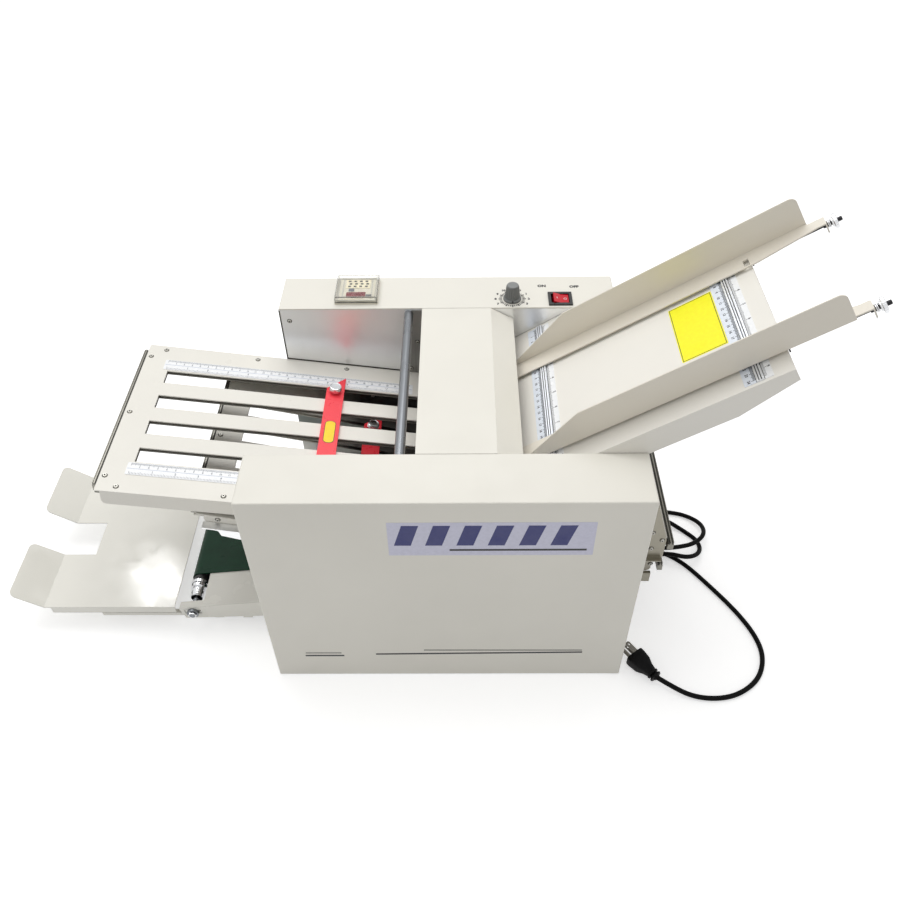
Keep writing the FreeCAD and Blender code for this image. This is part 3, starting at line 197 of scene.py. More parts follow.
class Finish(Nodes):
    """A Principled material whose colour, roughness and surface vary on Object coordinates."""

    def __init__(self, name, colour, roughness, metallic=0.0):
        self.material = bpy.data.materials.new(name)
        self.material.use_nodes = True
        super().__init__(self.material.node_tree)
        self.shader = self.tree.nodes["Principled BSDF"]
        self.colour = colour
        self.place = self.add("ShaderNodeTexCoord").outputs["Object"]
        self.normal = None
        self.set(Base_Color=colour, Roughness=roughness, Metallic=metallic)

    def set(self, **values):
        """Values or outputs on the shader's own inputs."""
        self.feed(self.shader, **values)
        return self

    def stretched(self, x, y, z):
        """Object coordinates scaled apart, for brushing along one axis."""
        return self.add("ShaderNodeMapping", Vector=self.place, Scale=(x, y, z)).outputs["Vector"]

    def noise(self, scale, detail=3.0, place=None):
        """A noise texture's value."""
        node = self.add("ShaderNodeTexNoise", Vector=place or self.place, Scale=scale, Detail=detail)
        return node.outputs["Fac"]

    def span(self, value, low, high, start=0.3, end=0.7):
        """A value brought from one range to another."""
        node = self.add("ShaderNodeMapRange", Value=value, From_Min=start, From_Max=end, To_Min=low,
                        To_Max=high)
        return node.outputs["Result"]

    def blend(self, other, share):
        """Mix the colour towards another one by a varying share."""
        mix = self.add("ShaderNodeMix")
        mix.data_type = "RGBA"
        self.feed(mix, A=self.colour, B=other, Factor=share)
        return self.set(Base_Color=mix.outputs["Result"])

    def mottle(self, other, scale, detail=4.0, high=0.6, place=None):
        """Blend the colour towards another one where the noise is high."""
        return self.blend(other, self.span(self.noise(scale, detail, place), 0.0, high))

    def fade(self, other, start_mm, end_mm):
        """Blend the colour towards another one along the machine, from one place to a second."""
        along = self.add("ShaderNodeSeparateXYZ", Vector=self.place).outputs["X"]
        start, end = [(x - ORIGIN_X) * MM for x in (start_mm, end_mm)]
        return self.blend(other, self.span(along, 0.0, 1.0, start, end))

    def gloss(self, low, high, scale):
        """Roughness between two values."""
        return self.set(Roughness=self.span(self.noise(scale), low, high))

    def grain(self, scale, height_mm, place=None):
        """A fine relief."""
        height = self.noise(scale, 2.0, place)
        bump = self.add("ShaderNodeBump", Height=height, Distance=height_mm * MM, Strength=1.0)
        if self.normal is not None:
            self.feed(bump, Normal=self.normal)
        self.normal = bump.outputs["Normal"]
        return self.set(Normal=self.normal)

    def rounded(self, radius_mm):
        """Soft edges on sharp corners."""
        bevel = self.add("ShaderNodeBevel", Radius=radius_mm * MM)
        bevel.samples = 4
        self.normal = bevel.outputs["Normal"]
        return self.set(Normal=self.normal)


PEEL_SCALE = 420.0
BRUSHED_ALONG = 6.0
BRUSHED_ACROSS = 400.0


def powder_coat(name, colour, roughness, peel_mm):
    """Enamel on sheet steel: a slight mottle, orange peel and rounded edges."""
    finish = Finish(name, colour, roughness).rounded(0.8).mottle(toned(colour, 0.94), 6.0, high=0.8)
    return finish.gloss(roughness - 0.06, roughness + 0.08, 30.0).grain(PEEL_SCALE, peel_mm).material


def brushed(name, colour, roughness, along, grain_mm=0.004, edge_mm=0.4):
    """Bare metal with fine lines along one axis."""
    finish = Finish(name, colour, roughness, 1.0)
    if edge_mm:
        finish.rounded(edge_mm)
    lines = finish.stretched(*[BRUSHED_ALONG if axis == along else BRUSHED_ACROSS for axis in "xyz"])
    finish.mottle(toned(colour, 0.8), 1.0, 3.0, 0.7, lines).gloss(roughness - 0.08, roughness + 0.1, 12.0)
    return finish.grain(1.0, grain_mm, lines).material


def lower_plate_with_painted_shade():
    """The lower left plate's enamel, with painted shade: darker towards its right end, where it runs in under
    the covers.
    """
    finish = Finish("dusty_plate_paint", srgb(234, 231, 222), 0.34).rounded(0.8)
    # Painted shade: the colour goes dark from 35 to 95 mm, where the upper plate and hood shade the plate.
    finish.fade(srgb(66, 64, 60), 35.0, 95.0)
    return finish.gloss(0.28, 0.42, 30.0).grain(PEEL_SCALE, 0.010).material


def side_frame_zinc():
    """Plated frame sheet, bright between the covers and dull on the arms past their right end."""
    finish = Finish("frame_zinc", srgb(238, 239, 240), 0.36, 1.0).rounded(0.4)
    finish.fade(srgb(150, 146, 134), COVER_LENGTH - 20.0, COVER_LENGTH)
    lines = finish.stretched(BRUSHED_ALONG, BRUSHED_ACROSS, BRUSHED_ACROSS)
    return finish.gloss(0.3, 0.42, 12.0).grain(1.0, 0.004, lines).material


def polished(name, colour, roughness):
    """Plated metal with small smears."""
    finish = Finish(name, colour, roughness, 1.0).rounded(0.25).mottle(toned(colour, 0.85), 90.0, 3.0)
    return finish.gloss(max(roughness - 0.05, 0.03), roughness + 0.1, 160.0).grain(900.0, 0.002).material


def moulded(name, colour, roughness, grain_mm=0.01, edge_mm=0.3, shine=0.5):
    """Moulded plastic with a fine texture."""
    finish = Finish(name, colour, roughness).rounded(edge_mm).mottle(toned(colour, 1.12, 0.004), 120.0, 3.0)
    finish.gloss(roughness - 0.05, roughness + 0.1, 200.0).grain(1500.0, grain_mm)
    return finish.set(Specular_IOR_Level=shine).material


def printed(name, colour, roughness=0.45):
    """Ink or film: nearly even, with a little wear."""
    finish = Finish(name, colour, roughness).mottle(toned(colour, 1.15, 0.006), 260.0, 5.0)
    return finish.gloss(roughness - 0.05, roughness + 0.1, 90.0).grain(700.0, 0.003).material


def belt_cover():
    """Dark green belting, smooth above with a very fine weave."""
    finish = Finish("belt_green", srgb(8, 52, 31), 0.3).mottle(srgb(12, 60, 37), 40.0, high=1.0)
    finish.gloss(0.24, 0.38, 60.0).grain(900.0, 0.002)
    return finish.set(Specular_IOR_Level=0.05, Coat_Weight=0.3, Coat_Roughness=0.05).material


def clear_lid():
    """Clear moulded plastic."""
    finish = Finish("lid_clear", (0.96, 0.96, 0.94, 1.0), 0.06).rounded(0.6).gloss(0.04, 0.12, 80.0)
    return finish.grain(300.0, 0.004).set(Transmission_Weight=1.0, IOR=1.3).material


# Each finish by its maker: its colour, then the maker's own values.
FINISHES = {
    powder_coat: {
        "cream_paint": (236, 233, 223, 0.38, 0.012),
        "table_paint": (242, 239, 231, 0.34, 0.012),
        "guide_paint": (236, 230, 217, 0.34, 0.012),
        "plate_paint": (237, 234, 225, 0.33, 0.010),
        # Painted shade: the back sheet under the upper left plate is dark for the shade seen through the
        # plate's slots.
        "back_sheet_paint": (122, 119, 111, 0.36, 0.010),
        # Painted shade: the lower right plate is darker for the shade it lies in under the upper right plate.
        "under_plate_paint": (182, 177, 164, 0.36, 0.010),
        "tray_enamel": (244, 242, 233, 0.08, 0.003),
        "rail_enamel": (244, 242, 233, 0.22, 0.008),
    },
    brushed: {
        "rod_steel": (136, 139, 143, 0.28, "y"),
        "roller_steel": (168, 168, 170, 0.28, "y"),
        "side_plate_steel": (152, 151, 148, 0.42, "z"),
        "bar_aluminium": (142, 140, 132, 0.32, "y"),
        "rail_aluminium": (240, 243, 248, 0.4, "y", 0.002, 0.0),
        "bearing_bronze": (170, 134, 84, 0.35, "y"),
    },
    polished: {
        "bright_chrome": (228, 229, 231, 0.12),
        "screw_zinc": (192, 190, 183, 0.28),
        "stud_black": (52, 52, 54, 0.3),
        "blade_nickel": (138, 135, 128, 0.3),
    },
    moulded: {
        "black_rubber": (28, 28, 28, 0.62, 0.02),
        "roller_rubber": (30, 30, 31, 0.36, 0.008),
        "feed_rubber": (112, 112, 110, 0.7, 0.02),
        "motor_enamel": (34, 35, 36, 0.4),
        "board_green": (32, 92, 58, 0.45),
        "counter_cream": (222, 217, 202, 0.42),
        "counter_grey": (196, 193, 184, 0.36),
        "counter_window": (241, 232, 206, 0.3),
        "counter_maroon": (124, 34, 44, 0.25),
        "button_grey": (96, 98, 102, 0.3),
        "knob_grey": (104, 106, 105, 0.42, 0.012),
        "knob_cap": (126, 128, 127, 0.34, 0.006),
        "switch_black": (26, 27, 27, 0.28),
        "switch_red": (196, 4, 32, 0.16, 0.002, 0.5, 0.35),
        "stop_red": (250, 56, 70, 0.3, 0.004, 0.4),
        "cord_black": (9, 9, 9, 0.45, 0.004, 0.3, 0.08),
        "plug_black": (9, 9, 10, 0.4, 0.008, 0.6, 0.1),
    },
    printed: {
        "ink_black": (24, 24, 26),
        "ink_blue": (188, 196, 212),
        "band_navy": (44, 48, 108),
        "plate_lavender": (208, 208, 226),
        "film_yellow": (252, 244, 0, 0.4),
        "film_amber": (255, 214, 10, 0.3),
        "ruler_film": (226, 232, 242, 0.32),
        "pale_ruler_film": (243, 245, 247, 0.2),
        "pale_ink": (138, 142, 150),
        "window_slate": (118, 122, 134),
        "ink_white": (240, 240, 238),
        "groove_shade": (58, 56, 50, 0.5),
    },
}
MATERIALS = {"dusty_plate_paint": lower_plate_with_painted_shade(), "frame_zinc": side_frame_zinc(), "belt_green": belt_cover(),
             "lid_clear": clear_lid()}
for maker, recipes in FINISHES.items():
    for finish_name, (red, green, blue, *values) in recipes.items():
        MATERIALS[finish_name] = maker(finish_name, srgb(red, green, blue), *values)

# The finish of every CAD node.
NODE_FINISH = {
    "cream_paint": "front_cover rear_cover hood_cover",
    "table_paint": "feed_table",
    "guide_paint": "front_guide rear_guide",
    "plate_paint": "upper_left_plate upper_right_plate",
    "under_plate_paint": "lower_right_plate",
    "back_sheet_paint": "upper_left_backplate",
    "dusty_plate_paint": "lower_left_plate",
    "rail_enamel": "conveyor_bed",
    "tray_enamel": "delivery_tray",
    "frame_zinc": "front_side_frame rear_side_frame base_plate",
    "rod_steel": "tie_rods conveyor_axle front_guide_clamp rear_guide_clamp motor_pulley",
    "roller_steel": "fold_roller_1 fold_roller_2 fold_roller_3 fold_roller_4 fold_roller_5 fold_roller_6",
    "bearing_bronze": "roller_bearings",
    "bar_aluminium": "plate_end_bars",
    "screw_zinc": "machine_screws",
    "bright_chrome": "upper_left_stop_screw lower_left_stop_screw upper_right_stop_screw "
                     "lower_right_stop_screw front_guide_nut rear_guide_nut",
    "blade_nickel": "plug_blades",
    "black_rubber": "rubber_feet separator_pad drive_belts strain_relief",
    "roller_rubber": "conveyor_idler_roller conveyor_drive_roller",
    "feed_rubber": "feed_roller",
    "belt_green": "conveyor_belt",
    "motor_enamel": "motor",
    "board_green": "control_board",
    "counter_cream": "counter_body",
    "lid_clear": "counter_lid",
    "button_grey": "counter_button",
    "knob_grey": "speed_knob",
    "switch_black": "switch_bezel",
    "switch_red": "switch_rocker",
    "stop_red": "upper_left_stop lower_left_stop upper_right_stop lower_right_stop",
    "cord_black": "power_cord",
    "plug_black": "plug_body",
    "ruler_film": "ruler_strips",
}

for node_finish, node_names in NODE_FINISH.items():
    for node_name in node_names.split():
        node_mesh = NODES[node_name].data
        node_mesh.materials.clear()
        node_mesh.materials.append(MATERIALS[node_finish])


# ---- shapes
def rectangle(x0, x1, y0, y1):
    """A rectangle's corners, anticlockwise."""
    return [(x0, y0), (x1, y0), (x1, y1), (x0, y1)]


def rounded_outline(x0, x1, y0, y1, radius, steps=5):
    """A rectangle with round corners, anticlockwise."""
    points = []
    for cx, cy, start in ((x1 - radius, y1 - radius, 0), (x0 + radius, y1 - radius, 90),
                          (x0 + radius, y0 + radius, 180), (x1 - radius, y0 + radius, 270)):
        for step in range(steps + 1):
            angle = math.radians(start + 90.0 * step / steps)
            points.append((cx + radius * math.cos(angle), cy + radius * math.sin(angle)))
    return points


def edge_strips(x0, x1, y0, y1, wide_x, wide_y):
    """The four strips inside a rectangle's edges, two along X and two between them."""
    low, high = y0 + wide_y, y1 - wide_y
    return (x0, x1, y0, low), (x0, x1, high, y1), (x0, x0 + wide_x, low, high), (x1 - wide_x, x1, low, high)


# The size of the font for figures one high.
FONT_SIZE = 1.4


class Piece:
    """A piece under construction. It has a finish, the record's slot, a body and the nodes it stands for."""

    def __init__(self, name, finish, slot, body="machine", replaces=(), smooth_below=35.0):
        self.name = name
        self.finish = finish
        self.slot = slot
        self.body = body
        self.replaces = replaces
        self.smooth_below = math.radians(smooth_below)
        self.bm = bmesh.new()

    def loft(self, place, rings):
        """Join rings of as many points each with a skin, and close both ends."""
        rows = [[self.bm.verts.new(place @ Vector(point)) for point in ring] for ring in rings]
        count = len(rows[0])
        for low, high in zip(rows, rows[1:]):
            for index in range(count):
                after = (index + 1) % count
                self.bm.faces.new((low[index], low[after], high[after], high[index]))
        self.bm.faces.new(rows[0][::-1])
        self.bm.faces.new(rows[-1])

    def prism(self, place, outline, z0, z1):
        """Add an outline of (x, y) points, anticlockwise from above, between two heights."""
        self.loft(place, [[(x, y, z) for x, y in outline] for z in (z0, z1)])

    def block(self, place, x0, x1, y0, y1, z0, z1):
        """Add a box in the piece's own millimetres."""
        self.prism(place, rectangle(x0, x1, y0, y1), z0, z1)

    def lathe(self, place, profile, steps=40, ribs=0, rib_depth=0.0):
        """Turn a profile of (radius, height) points about Z. Those with a third value wave in and out."""
        rings = []
        angles = [2 * math.pi * step / steps for step in range(steps)]
        for radius, height, *ribbed in profile:
            depth = rib_depth if ribbed else 0.0
            reaches = [radius - depth * (0.5 - 0.5 * math.cos(angle * ribs)) for angle in angles]
            rings.append([(reach * math.cos(angle), reach * math.sin(angle), height)
                          for reach, angle in zip(reaches, angles)])
        self.loft(place, rings)

    def pierced(self, place, outline, centre, radius, z0, z1):
        """Add an outline between two heights with a round hole that has as many points."""
        count = len(outline)
        angles = [2 * math.pi * step / count for step in range(count)]
        hole = [(centre + radius * math.cos(angle), radius * math.sin(angle)) for angle in angles]
        outer, inner = [[[self.bm.verts.new(place @ Vector((x, y, z))) for x, y in edge] for z in (z0, z1)]
                        for edge in (outline, hole)]
        for index in range(count):
            after = (index + 1) % count
            for first, second in ((outer[1], inner[1]), (inner[0], outer[0]), (outer[0], outer[1]),
                                  (inner[1], inner[0])):
                self.bm.faces.new((first[index], first[after], second[after], second[index]))

    def take(self, helper, place):
        """Add a helper object's final mesh, and remove the helper."""
        SCENE.collection.objects.link(helper)
        bpy.context.view_layer.update()
        mesh = bpy.data.meshes.new_from_object(helper.evaluated_get(bpy.context.evaluated_depsgraph_get()))
        mesh.transform(place)
        self.bm.from_mesh(mesh)
        bpy.data.objects.remove(helper)
        bpy.data.meshes.remove(mesh)

    def lettering(self, text, place, height, thickness=0.12, weight=0.0):
        """Add upright figures or letters as thin solids, centred on the place."""
        curve = bpy.data.curves.new("lettering", "FONT")
        curve.body = text
        curve.size = height * FONT_SIZE
        curve.align_x = "CENTER"
        curve.align_y = "CENTER"
        curve.extrude = thickness / 2
        curve.offset = weight
        curve.resolution_u = 2
        self.take(bpy.data.objects.new("lettering", curve), place)
        bpy.data.curves.remove(curve)

    def grow(self, place, tree, points=(), **values):
        """Add what a node tree makes, in the piece's own millimetres."""
        mesh = bpy.data.meshes.new("seed")
        mesh.from_pydata([tuple(point) for point in points], [], [])
        seed = bpy.data.objects.new("seed", mesh)
        modifier = seed.modifiers.new("grow", "NODES")
        modifier.node_group = tree
        values["Material"] = MATERIALS[self.finish]
        for item in tree.interface.items_tree:
            if item.in_out == "INPUT" and item.name in values:
                modifier[item.identifier] = values[item.name]
        self.take(seed, place)
        bpy.data.meshes.remove(mesh)

    def show(self):
        """Turn the outward mesh, smooth across gentle edges only, into a piece of the scene."""
        bmesh.ops.recalc_face_normals(self.bm, faces=self.bm.faces)
        for face in self.bm.faces:
            face.smooth = True
        for edge in self.bm.edges:
            edge.smooth = len(edge.link_faces) == 2 and edge.calc_face_angle(0.0) < self.smooth_below
        mesh = bpy.data.meshes.new(self.name)
        self.bm.to_mesh(mesh)
        self.bm.free()
        mesh.materials.append(MATERIALS[self.finish])
        piece = bpy.data.objects.new(self.name, mesh)
        SCENE.collection.objects.link(piece)
        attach(piece, self.body)
        if self.replaces:
            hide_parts(*self.replaces)
        return piece


def show(*pieces):
    """Finish several pieces."""
    return [piece.show() for piece in pieces]


# ---- node trees for what repeats
class Tree(Nodes):
    """A Geometry Nodes tree with named inputs for its sizes and its material."""

    def __init__(self, name, **inputs):
        super().__init__(bpy.data.node_groups.new(name, "GeometryNodeTree"))
        face = self.tree.interface
        face.new_socket("Geometry", in_out="OUTPUT", socket_type="NodeSocketGeometry")
        for label, kind in inputs.items():
            face.new_socket(label, in_out="INPUT", socket_type="NodeSocket" + kind)
        face.new_socket("Material", in_out="INPUT", socket_type="NodeSocketMaterial")
        self.inputs = self.add("NodeGroupInput").outputs

    def run(self, start, step):
        """The value of an evenly stepped series at each point."""
        index = self.add("GeometryNodeInputIndex").outputs["Index"]
        return self.math("ADD", self.math("MULTIPLY", index, self.inputs[step]), self.inputs[start])

    def finish(self, points, shape, turn=(0.0, 0.0, 0.0)):
        """Put the shape on the points, make it real and give it its material."""
        spread = self.add("GeometryNodeInstanceOnPoints", Points=points, Instance=shape, Rotation=turn)
        real = self.add("GeometryNodeRealizeInstances", Geometry=spread.outputs["Instances"])
        dress = self.add("GeometryNodeSetMaterial", Geometry=real.outputs["Geometry"],
                         Material=self.inputs["Material"])
        self.add("NodeGroupOutput", Geometry=dress.outputs["Geometry"])
        return self.tree

    def bars(self, x, y, turn=0.0):
        """Bars of one Size on Count points at x, y and Lift, turned about Z."""
        spot = self.add("ShaderNodeCombineXYZ", X=x, Y=y, Z=self.inputs["Lift"])
        points = self.add("GeometryNodePoints", Count=self.inputs["Count"], Position=spot.outputs["Vector"])
        cube = self.add("GeometryNodeMeshCube", Size=self.inputs["Size"])
        lean = self.add("ShaderNodeCombineXYZ", Z=turn)
        return self.finish(points.outputs["Points"], cube.outputs["Mesh"], lean.outputs["Vector"])


def row_tree():
    """Bars in a row along X, each Size large and centred on Y at Offset."""
    tree = Tree("bar_row", Count="Int", Start="Float", Spacing="Float", Offset="Float", Lift="Float",
                Size="Vector")
    return tree.bars(tree.run("Start", "Spacing"), tree.inputs["Offset"])


def ring_tree():
    """Bars round an arc in the XY plane, each pointing outwards."""
    tree = Tree("bar_ring", Count="Int", Radius="Float", First="Float", Step="Float", Lift="Float",
                Size="Vector")
    angle = tree.run("First", "Step")
    x, y = [tree.math("MULTIPLY", tree.math(kind, angle), tree.inputs["Radius"])
            for kind in ("COSINE", "SINE")]
    return tree.bars(x, y, angle)


def stud_tree():
    """A tapered stud on every point that comes in, standing along Z."""
    tree = Tree("studs", Geometry="Geometry", Sides="Int", Foot="Float", Top="Float", Height="Float")
    cone = tree.add("GeometryNodeMeshCone", Vertices=tree.inputs["Sides"], Radius_Bottom=tree.inputs["Foot"],
                    Radius_Top=tree.inputs["Top"], Depth=tree.inputs["Height"])
    return tree.finish(tree.inputs["Geometry"], cone.outputs["Mesh"])


ROW = row_tree()
RING = ring_tree()
STUDS = stud_tree()
HERE = [(0, 0, 0)]

# ---- mains cord
CORD_DIAMETER = 0.0062
FLOOR = 3.15
HUMP = 15.55
PLUG = 11.5
CORD_ROUTE_MM = [
    (455.3, 158, 46), (473, 158, 45), (492, 152, 35), (502, 134, 19), (497, 111, 6),
    (480, 93, FLOOR), (458, 78, FLOOR), (444, 56, FLOOR), (440, 30, FLOOR), (449, 5, FLOOR),
    (471, -10, FLOOR), (496, -14, 7), (516, -18, HUMP), (541, -26, HUMP), (562, -11, 8),
    (564, 14, FLOOR), (546, 33, FLOOR), (524, 48, 8), (500, 52, HUMP), (479, 41, HUMP),
    (472, 18, HUMP), (484, -3, HUMP), (507, -9, HUMP), (531, -7, HUMP), (554, -1, HUMP),
    (572, 16, HUMP), (573, 42, 8), (554, 62, FLOOR), (528, 68, FLOOR), (501, 70, FLOOR),
    (475, 62, FLOOR), (457, 41, FLOOR), (459, 15, FLOOR), (479, -1, FLOOR), (503, -4, FLOOR),
    (521, -13, FLOOR), (540, -30, FLOOR), (563, -62, FLOOR), (590, -103, FLOOR), (607, -140, FLOOR),
    (611, -172, FLOOR), (598, -204, FLOOR), (570, -225, FLOOR), (541, -232, FLOOR), (510, -229, FLOOR + 1),
    (484, -217, PLUG - 2), (467.5, -205.5, PLUG),
]

# ---- plug
PLUG_HEADING = math.degrees(math.atan2(34.0, -25.0))
PLUG_SETBACK = -3.2
PLUG_NOSE = 41.0
PLUG_SIDES = 40
# Sections of the moulded plug as (x, half width, half height, squareness, sag). The ridges repeat.
NECK_END = (0.0, 3.8, 3.8, 2.0, 0.0)
NECK_RIDGES = (1.6, 6.4)
RIDGE = ((0.0, 4.6, 4.6, 2.0, 0.0), (0.5, 7.4, 6.4, 2.6, 0.0), (2.4, 7.8, 6.6, 2.6, 0.0),
         (3.0, 6.6, 6.0, 2.4, 0.0))
PLUG_FRONT = ((12.6, 7.2, 6.4, 3.0, -0.3), (17.0, 7.9, 7.2, 3.6, -0.8), (20.0, 9.2, 8.0, 4.0, -1.2),
              (25.0, 11.2, 8.9, 5.0, -1.5), (36.0, 12.4, 9.0, 6.0, -1.5), (40.2, 12.4, 8.8, 6.0, -1.5),
              (PLUG_NOSE, 11.8, 8.2, 6.0, -1.5))
BLADE_ROOT = PLUG_NOSE - 1.0
BLADE_TIP = 58.6
BLADE_HALF = 3.1
BLADE_THICK = 1.5
BLADE_HOLE = 1.5
BLADE_HOLE_AT = BLADE_TIP - 4.0
BLADE_SIDE = -4.4
BLADE_LIFTS = (-5.2, 1.4)
EARTH_SIDE = 5.0
EARTH_LIFT = -1.2
EARTH_PIN = ((2.4, BLADE_ROOT), (2.4, BLADE_TIP + 0.5), (1.2, BLADE_TIP + 2.0))


def plug_ring(x, wide, high, square, sag):
    """One section of the plug: an oval that grows squarer."""
    ring = []
    for step in range(PLUG_SIDES):
        angle = 2 * math.pi * step / PLUG_SIDES
        y, z = [half * math.copysign(abs(part) ** (2 / square), part)
                for half, part in ((wide, math.cos(angle)), (high, math.sin(angle)))]
        ring.append((x, y, z + sag))
    return ring


def mains_plug():
    """The plug's moulded body, its two flat blades with their holes and its round pin."""
    x, y, z = CORD_ROUTE_MM[-1]
    lean = math.radians(PLUG_HEADING)
    place = place_at(x + PLUG_SETBACK * math.cos(lean), y + PLUG_SETBACK * math.sin(lean), z,
                     about("Z", PLUG_HEADING))
    shell = Piece("plug_shell", "plug_black", "plug_black", replaces=["plug_body"], smooth_below=50.0)
    ridges = [(start + x, *section) for start in NECK_RIDGES for x, *section in RIDGE]
    shell.loft(place, [plug_ring(*section) for section in (NECK_END, *ridges, *PLUG_FRONT)])
    pins = Piece("plug_pins", "blade_nickel", "blade_metal", replaces=["plug_blades"])
    edge = [(BLADE_TIP, BLADE_HALF * 0.5), (BLADE_TIP - 1.4, BLADE_HALF), (BLADE_HOLE_AT, BLADE_HALF),
            (BLADE_HOLE_AT - 2.5, BLADE_HALF), (BLADE_ROOT, BLADE_HALF)]
    outline = [(BLADE_TIP, 0.0)] + edge + [(BLADE_ROOT, 0.0)] + [(x, -y) for x, y in reversed(edge)]
    for lift in BLADE_LIFTS:
        blade = place @ move(0.0, BLADE_SIDE, lift)
        pins.pierced(blade, outline, BLADE_HOLE_AT, BLADE_HOLE, 0.0, BLADE_THICK)
    pins.lathe(place @ move(0.0, EARTH_SIDE, EARTH_LIFT) @ about("Y", 90.0), EARTH_PIN, 24)
    return show(shell, pins)


def make_cord():
    """The cord as one smooth line through its route, with a round section."""
    route = [machine_point(*point) for point in CORD_ROUTE_MM]
    curve = bpy.data.curves.new("mains_cord", "CURVE")
    curve.dimensions = "3D"
    spline = curve.splines.new("NURBS")
    spline.points.add(len(route) - 1)
    for knot, place in zip(spline.points, route):
        knot.co = (*place, 1.0)
    spline.order_u = 3
    spline.use_endpoint_u = True
    spline.resolution_u = 12
    curve.bevel_depth = CORD_DIAMETER / 2
    curve.bevel_resolution = 5
    curve.use_fill_caps = True
    curve.materials.append(MATERIALS["cord_black"])
    cord = bpy.data.objects.new("mains_cord", curve)
    SCENE.collection.objects.link(cord)
    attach(cord, "machine")
    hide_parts("power_cord")
    mains_plug()


make_cord()

# ---- screws and side plates
HEAD_HEIGHT = 1.5
PAN_HEAD = {"Sides": 20, "Foot": 2.5, "Top": 2.0, "Height": HEAD_HEIGHT}
# Painted shade on each screw: a dark hexagon for its socket and a dark ring at its foot.
SOCKET_SHADE = {"Sides": 6, "Foot": 1.3, "Top": 1.17, "Height": 0.08}
SEAT_SHADE = {"Sides": 20, "Foot": 3.2, "Top": 3.2, "Height": 0.12}
ROD_NUT = {"Sides": 6, "Foot": 5.5, "Top": 5.5, "Height": 4.0}
FRAME_SHEET = 4.0
SIDE_PLATE = 0.6
SIDE_PLATE_XZ = [(160.0, 214.0), (180.3, 214.0), (180.3, 323.0), (167.6, 323.0)]
# Screws across a fold plate's end, and at three places along each of its edges.
END_SCREWS_Y = (-104.5, 0.0, 104.5)
EDGE_SCREWS_Y = (-119.4, 119.4)
END_INSET = 6.0
EDGE_INSET = 22.0
EDGE_SHARES = (0.64, 0.34)
# Screws inside the side frames as (x, z, thickness of what they hold), and outside on the arms.
INNER_SCREWS = ((12.0, 307.6, 0.0), (173.1, 273.3, SIDE_PLATE), (163.2, 229.4, SIDE_PLATE))
ARM_SCREWS = ((460.0, 187.0), (447.4, 200.5), (449.5, 172.0))
BAR_SCREWS = (("lower_left", 27.2, -2.2), ("lower_right", 7.0, -4.8))
BAR_SCREW_Y = GAP_HALF - 0.6
ROD_NUTS = ((163.8, 317.0), (28.0, 98.0), (404.0, 30.0))


def side_plates():
    """The narrow steel plates screwed inside the side frames, beside the hood."""
    plates = Piece("side_plates", "side_plate_steel", "bright_steel")
    for outer in (SIDE_PLATE - GAP_HALF, GAP_HALF):
        plates.prism(place_at(0.0, outer, 0.0, about("X", 90.0)), SIDE_PLATE_XZ, 0.02, SIDE_PLATE)
    show(plates)


def machine_screws():
    """All pan heads, each with painted shade of a dark ring at its foot and a dark hexagon for its socket,
    and the nuts on the tie rods.
    """
    heads = Piece("screw_heads", "screw_zinc", "bright_steel", replaces=["machine_screws"])
    shade = Piece("screw_painted_shade", "groove_shade", "bright_steel")

    def screws(place, points=HERE):
        """Screws that stand on the local z of the points."""
        tops = [(x, y, z + HEAD_HEIGHT) for x, y, z in points]
        heads.grow(place, STUDS, points, **PAN_HEAD)
        shade.grow(place, STUDS, tops, **SOCKET_SHADE)
        shade.grow(place, STUDS, points, **SEAT_SHADE)

    for name, plate in PLATES.items():
        length = plate["length"]
        points = [(length - END_INSET, y, PLATE_OUTER) for y in END_SCREWS_Y]
        for along in (length - EDGE_INSET, *[length * share for share in EDGE_SHARES]):
            points.extend([(along, y, PLATE_OUTER) for y in EDGE_SCREWS_Y])
        screws(plate_place(name), points)
    for side in (-1, 1):
        for x, z, plate in INNER_SCREWS:
            screws(place_at(x, side * (GAP_HALF - plate), z, outward(-side)))
        for x, z in ARM_SCREWS:
            screws(place_at(x, side * (GAP_HALF + FRAME_SHEET), z, outward(side)))
        for name, inset, above in BAR_SCREWS:
            spot = plate_place(name) @ Vector((PLATES[name]["length"] - inset, 0.0, above))
            seat = Matrix.Translation((spot.x, side * BAR_SCREW_Y * MM, spot.z))
            screws(seat @ outward(side) @ METRES)
        for x, z in ROD_NUTS:
            heads.grow(place_at(x, side * (GAP_HALF + FRAME_SHEET), z, outward(side)), STUDS, HERE, **ROD_NUT)
    show(heads, shade)


side_plates()
machine_screws()

# ---- fold plates' bars, and painted shade in the bars' grooves and the gaps
BAR_RIB = 1.5
BAR_RIB_SHARE = 0.35
BAR_LIP = 1.0
BAR_SHORT = 0.4
LIP_SLANT = 0.6
LIP_TOP = PLATE_OUTER - 0.3
GROOVE_FLOOR = PLATE_OUTER - 1.0
GROOVE_FOOT = GROOVE_FLOOR - 2.0
HAIR = 0.05
# Sizes of the strips of painted shade in the gaps.
GAP_LINE = 1.7
GAP_LEFT = 0.3
GAP_DEPTHS = (GAP_HALF - 0.4, GAP_HALF - HAIR)
GAP_FOOT = 22.0
GAP_TOP = COVER_TOP - 2.5
PLATE_GAP_START = 14.0


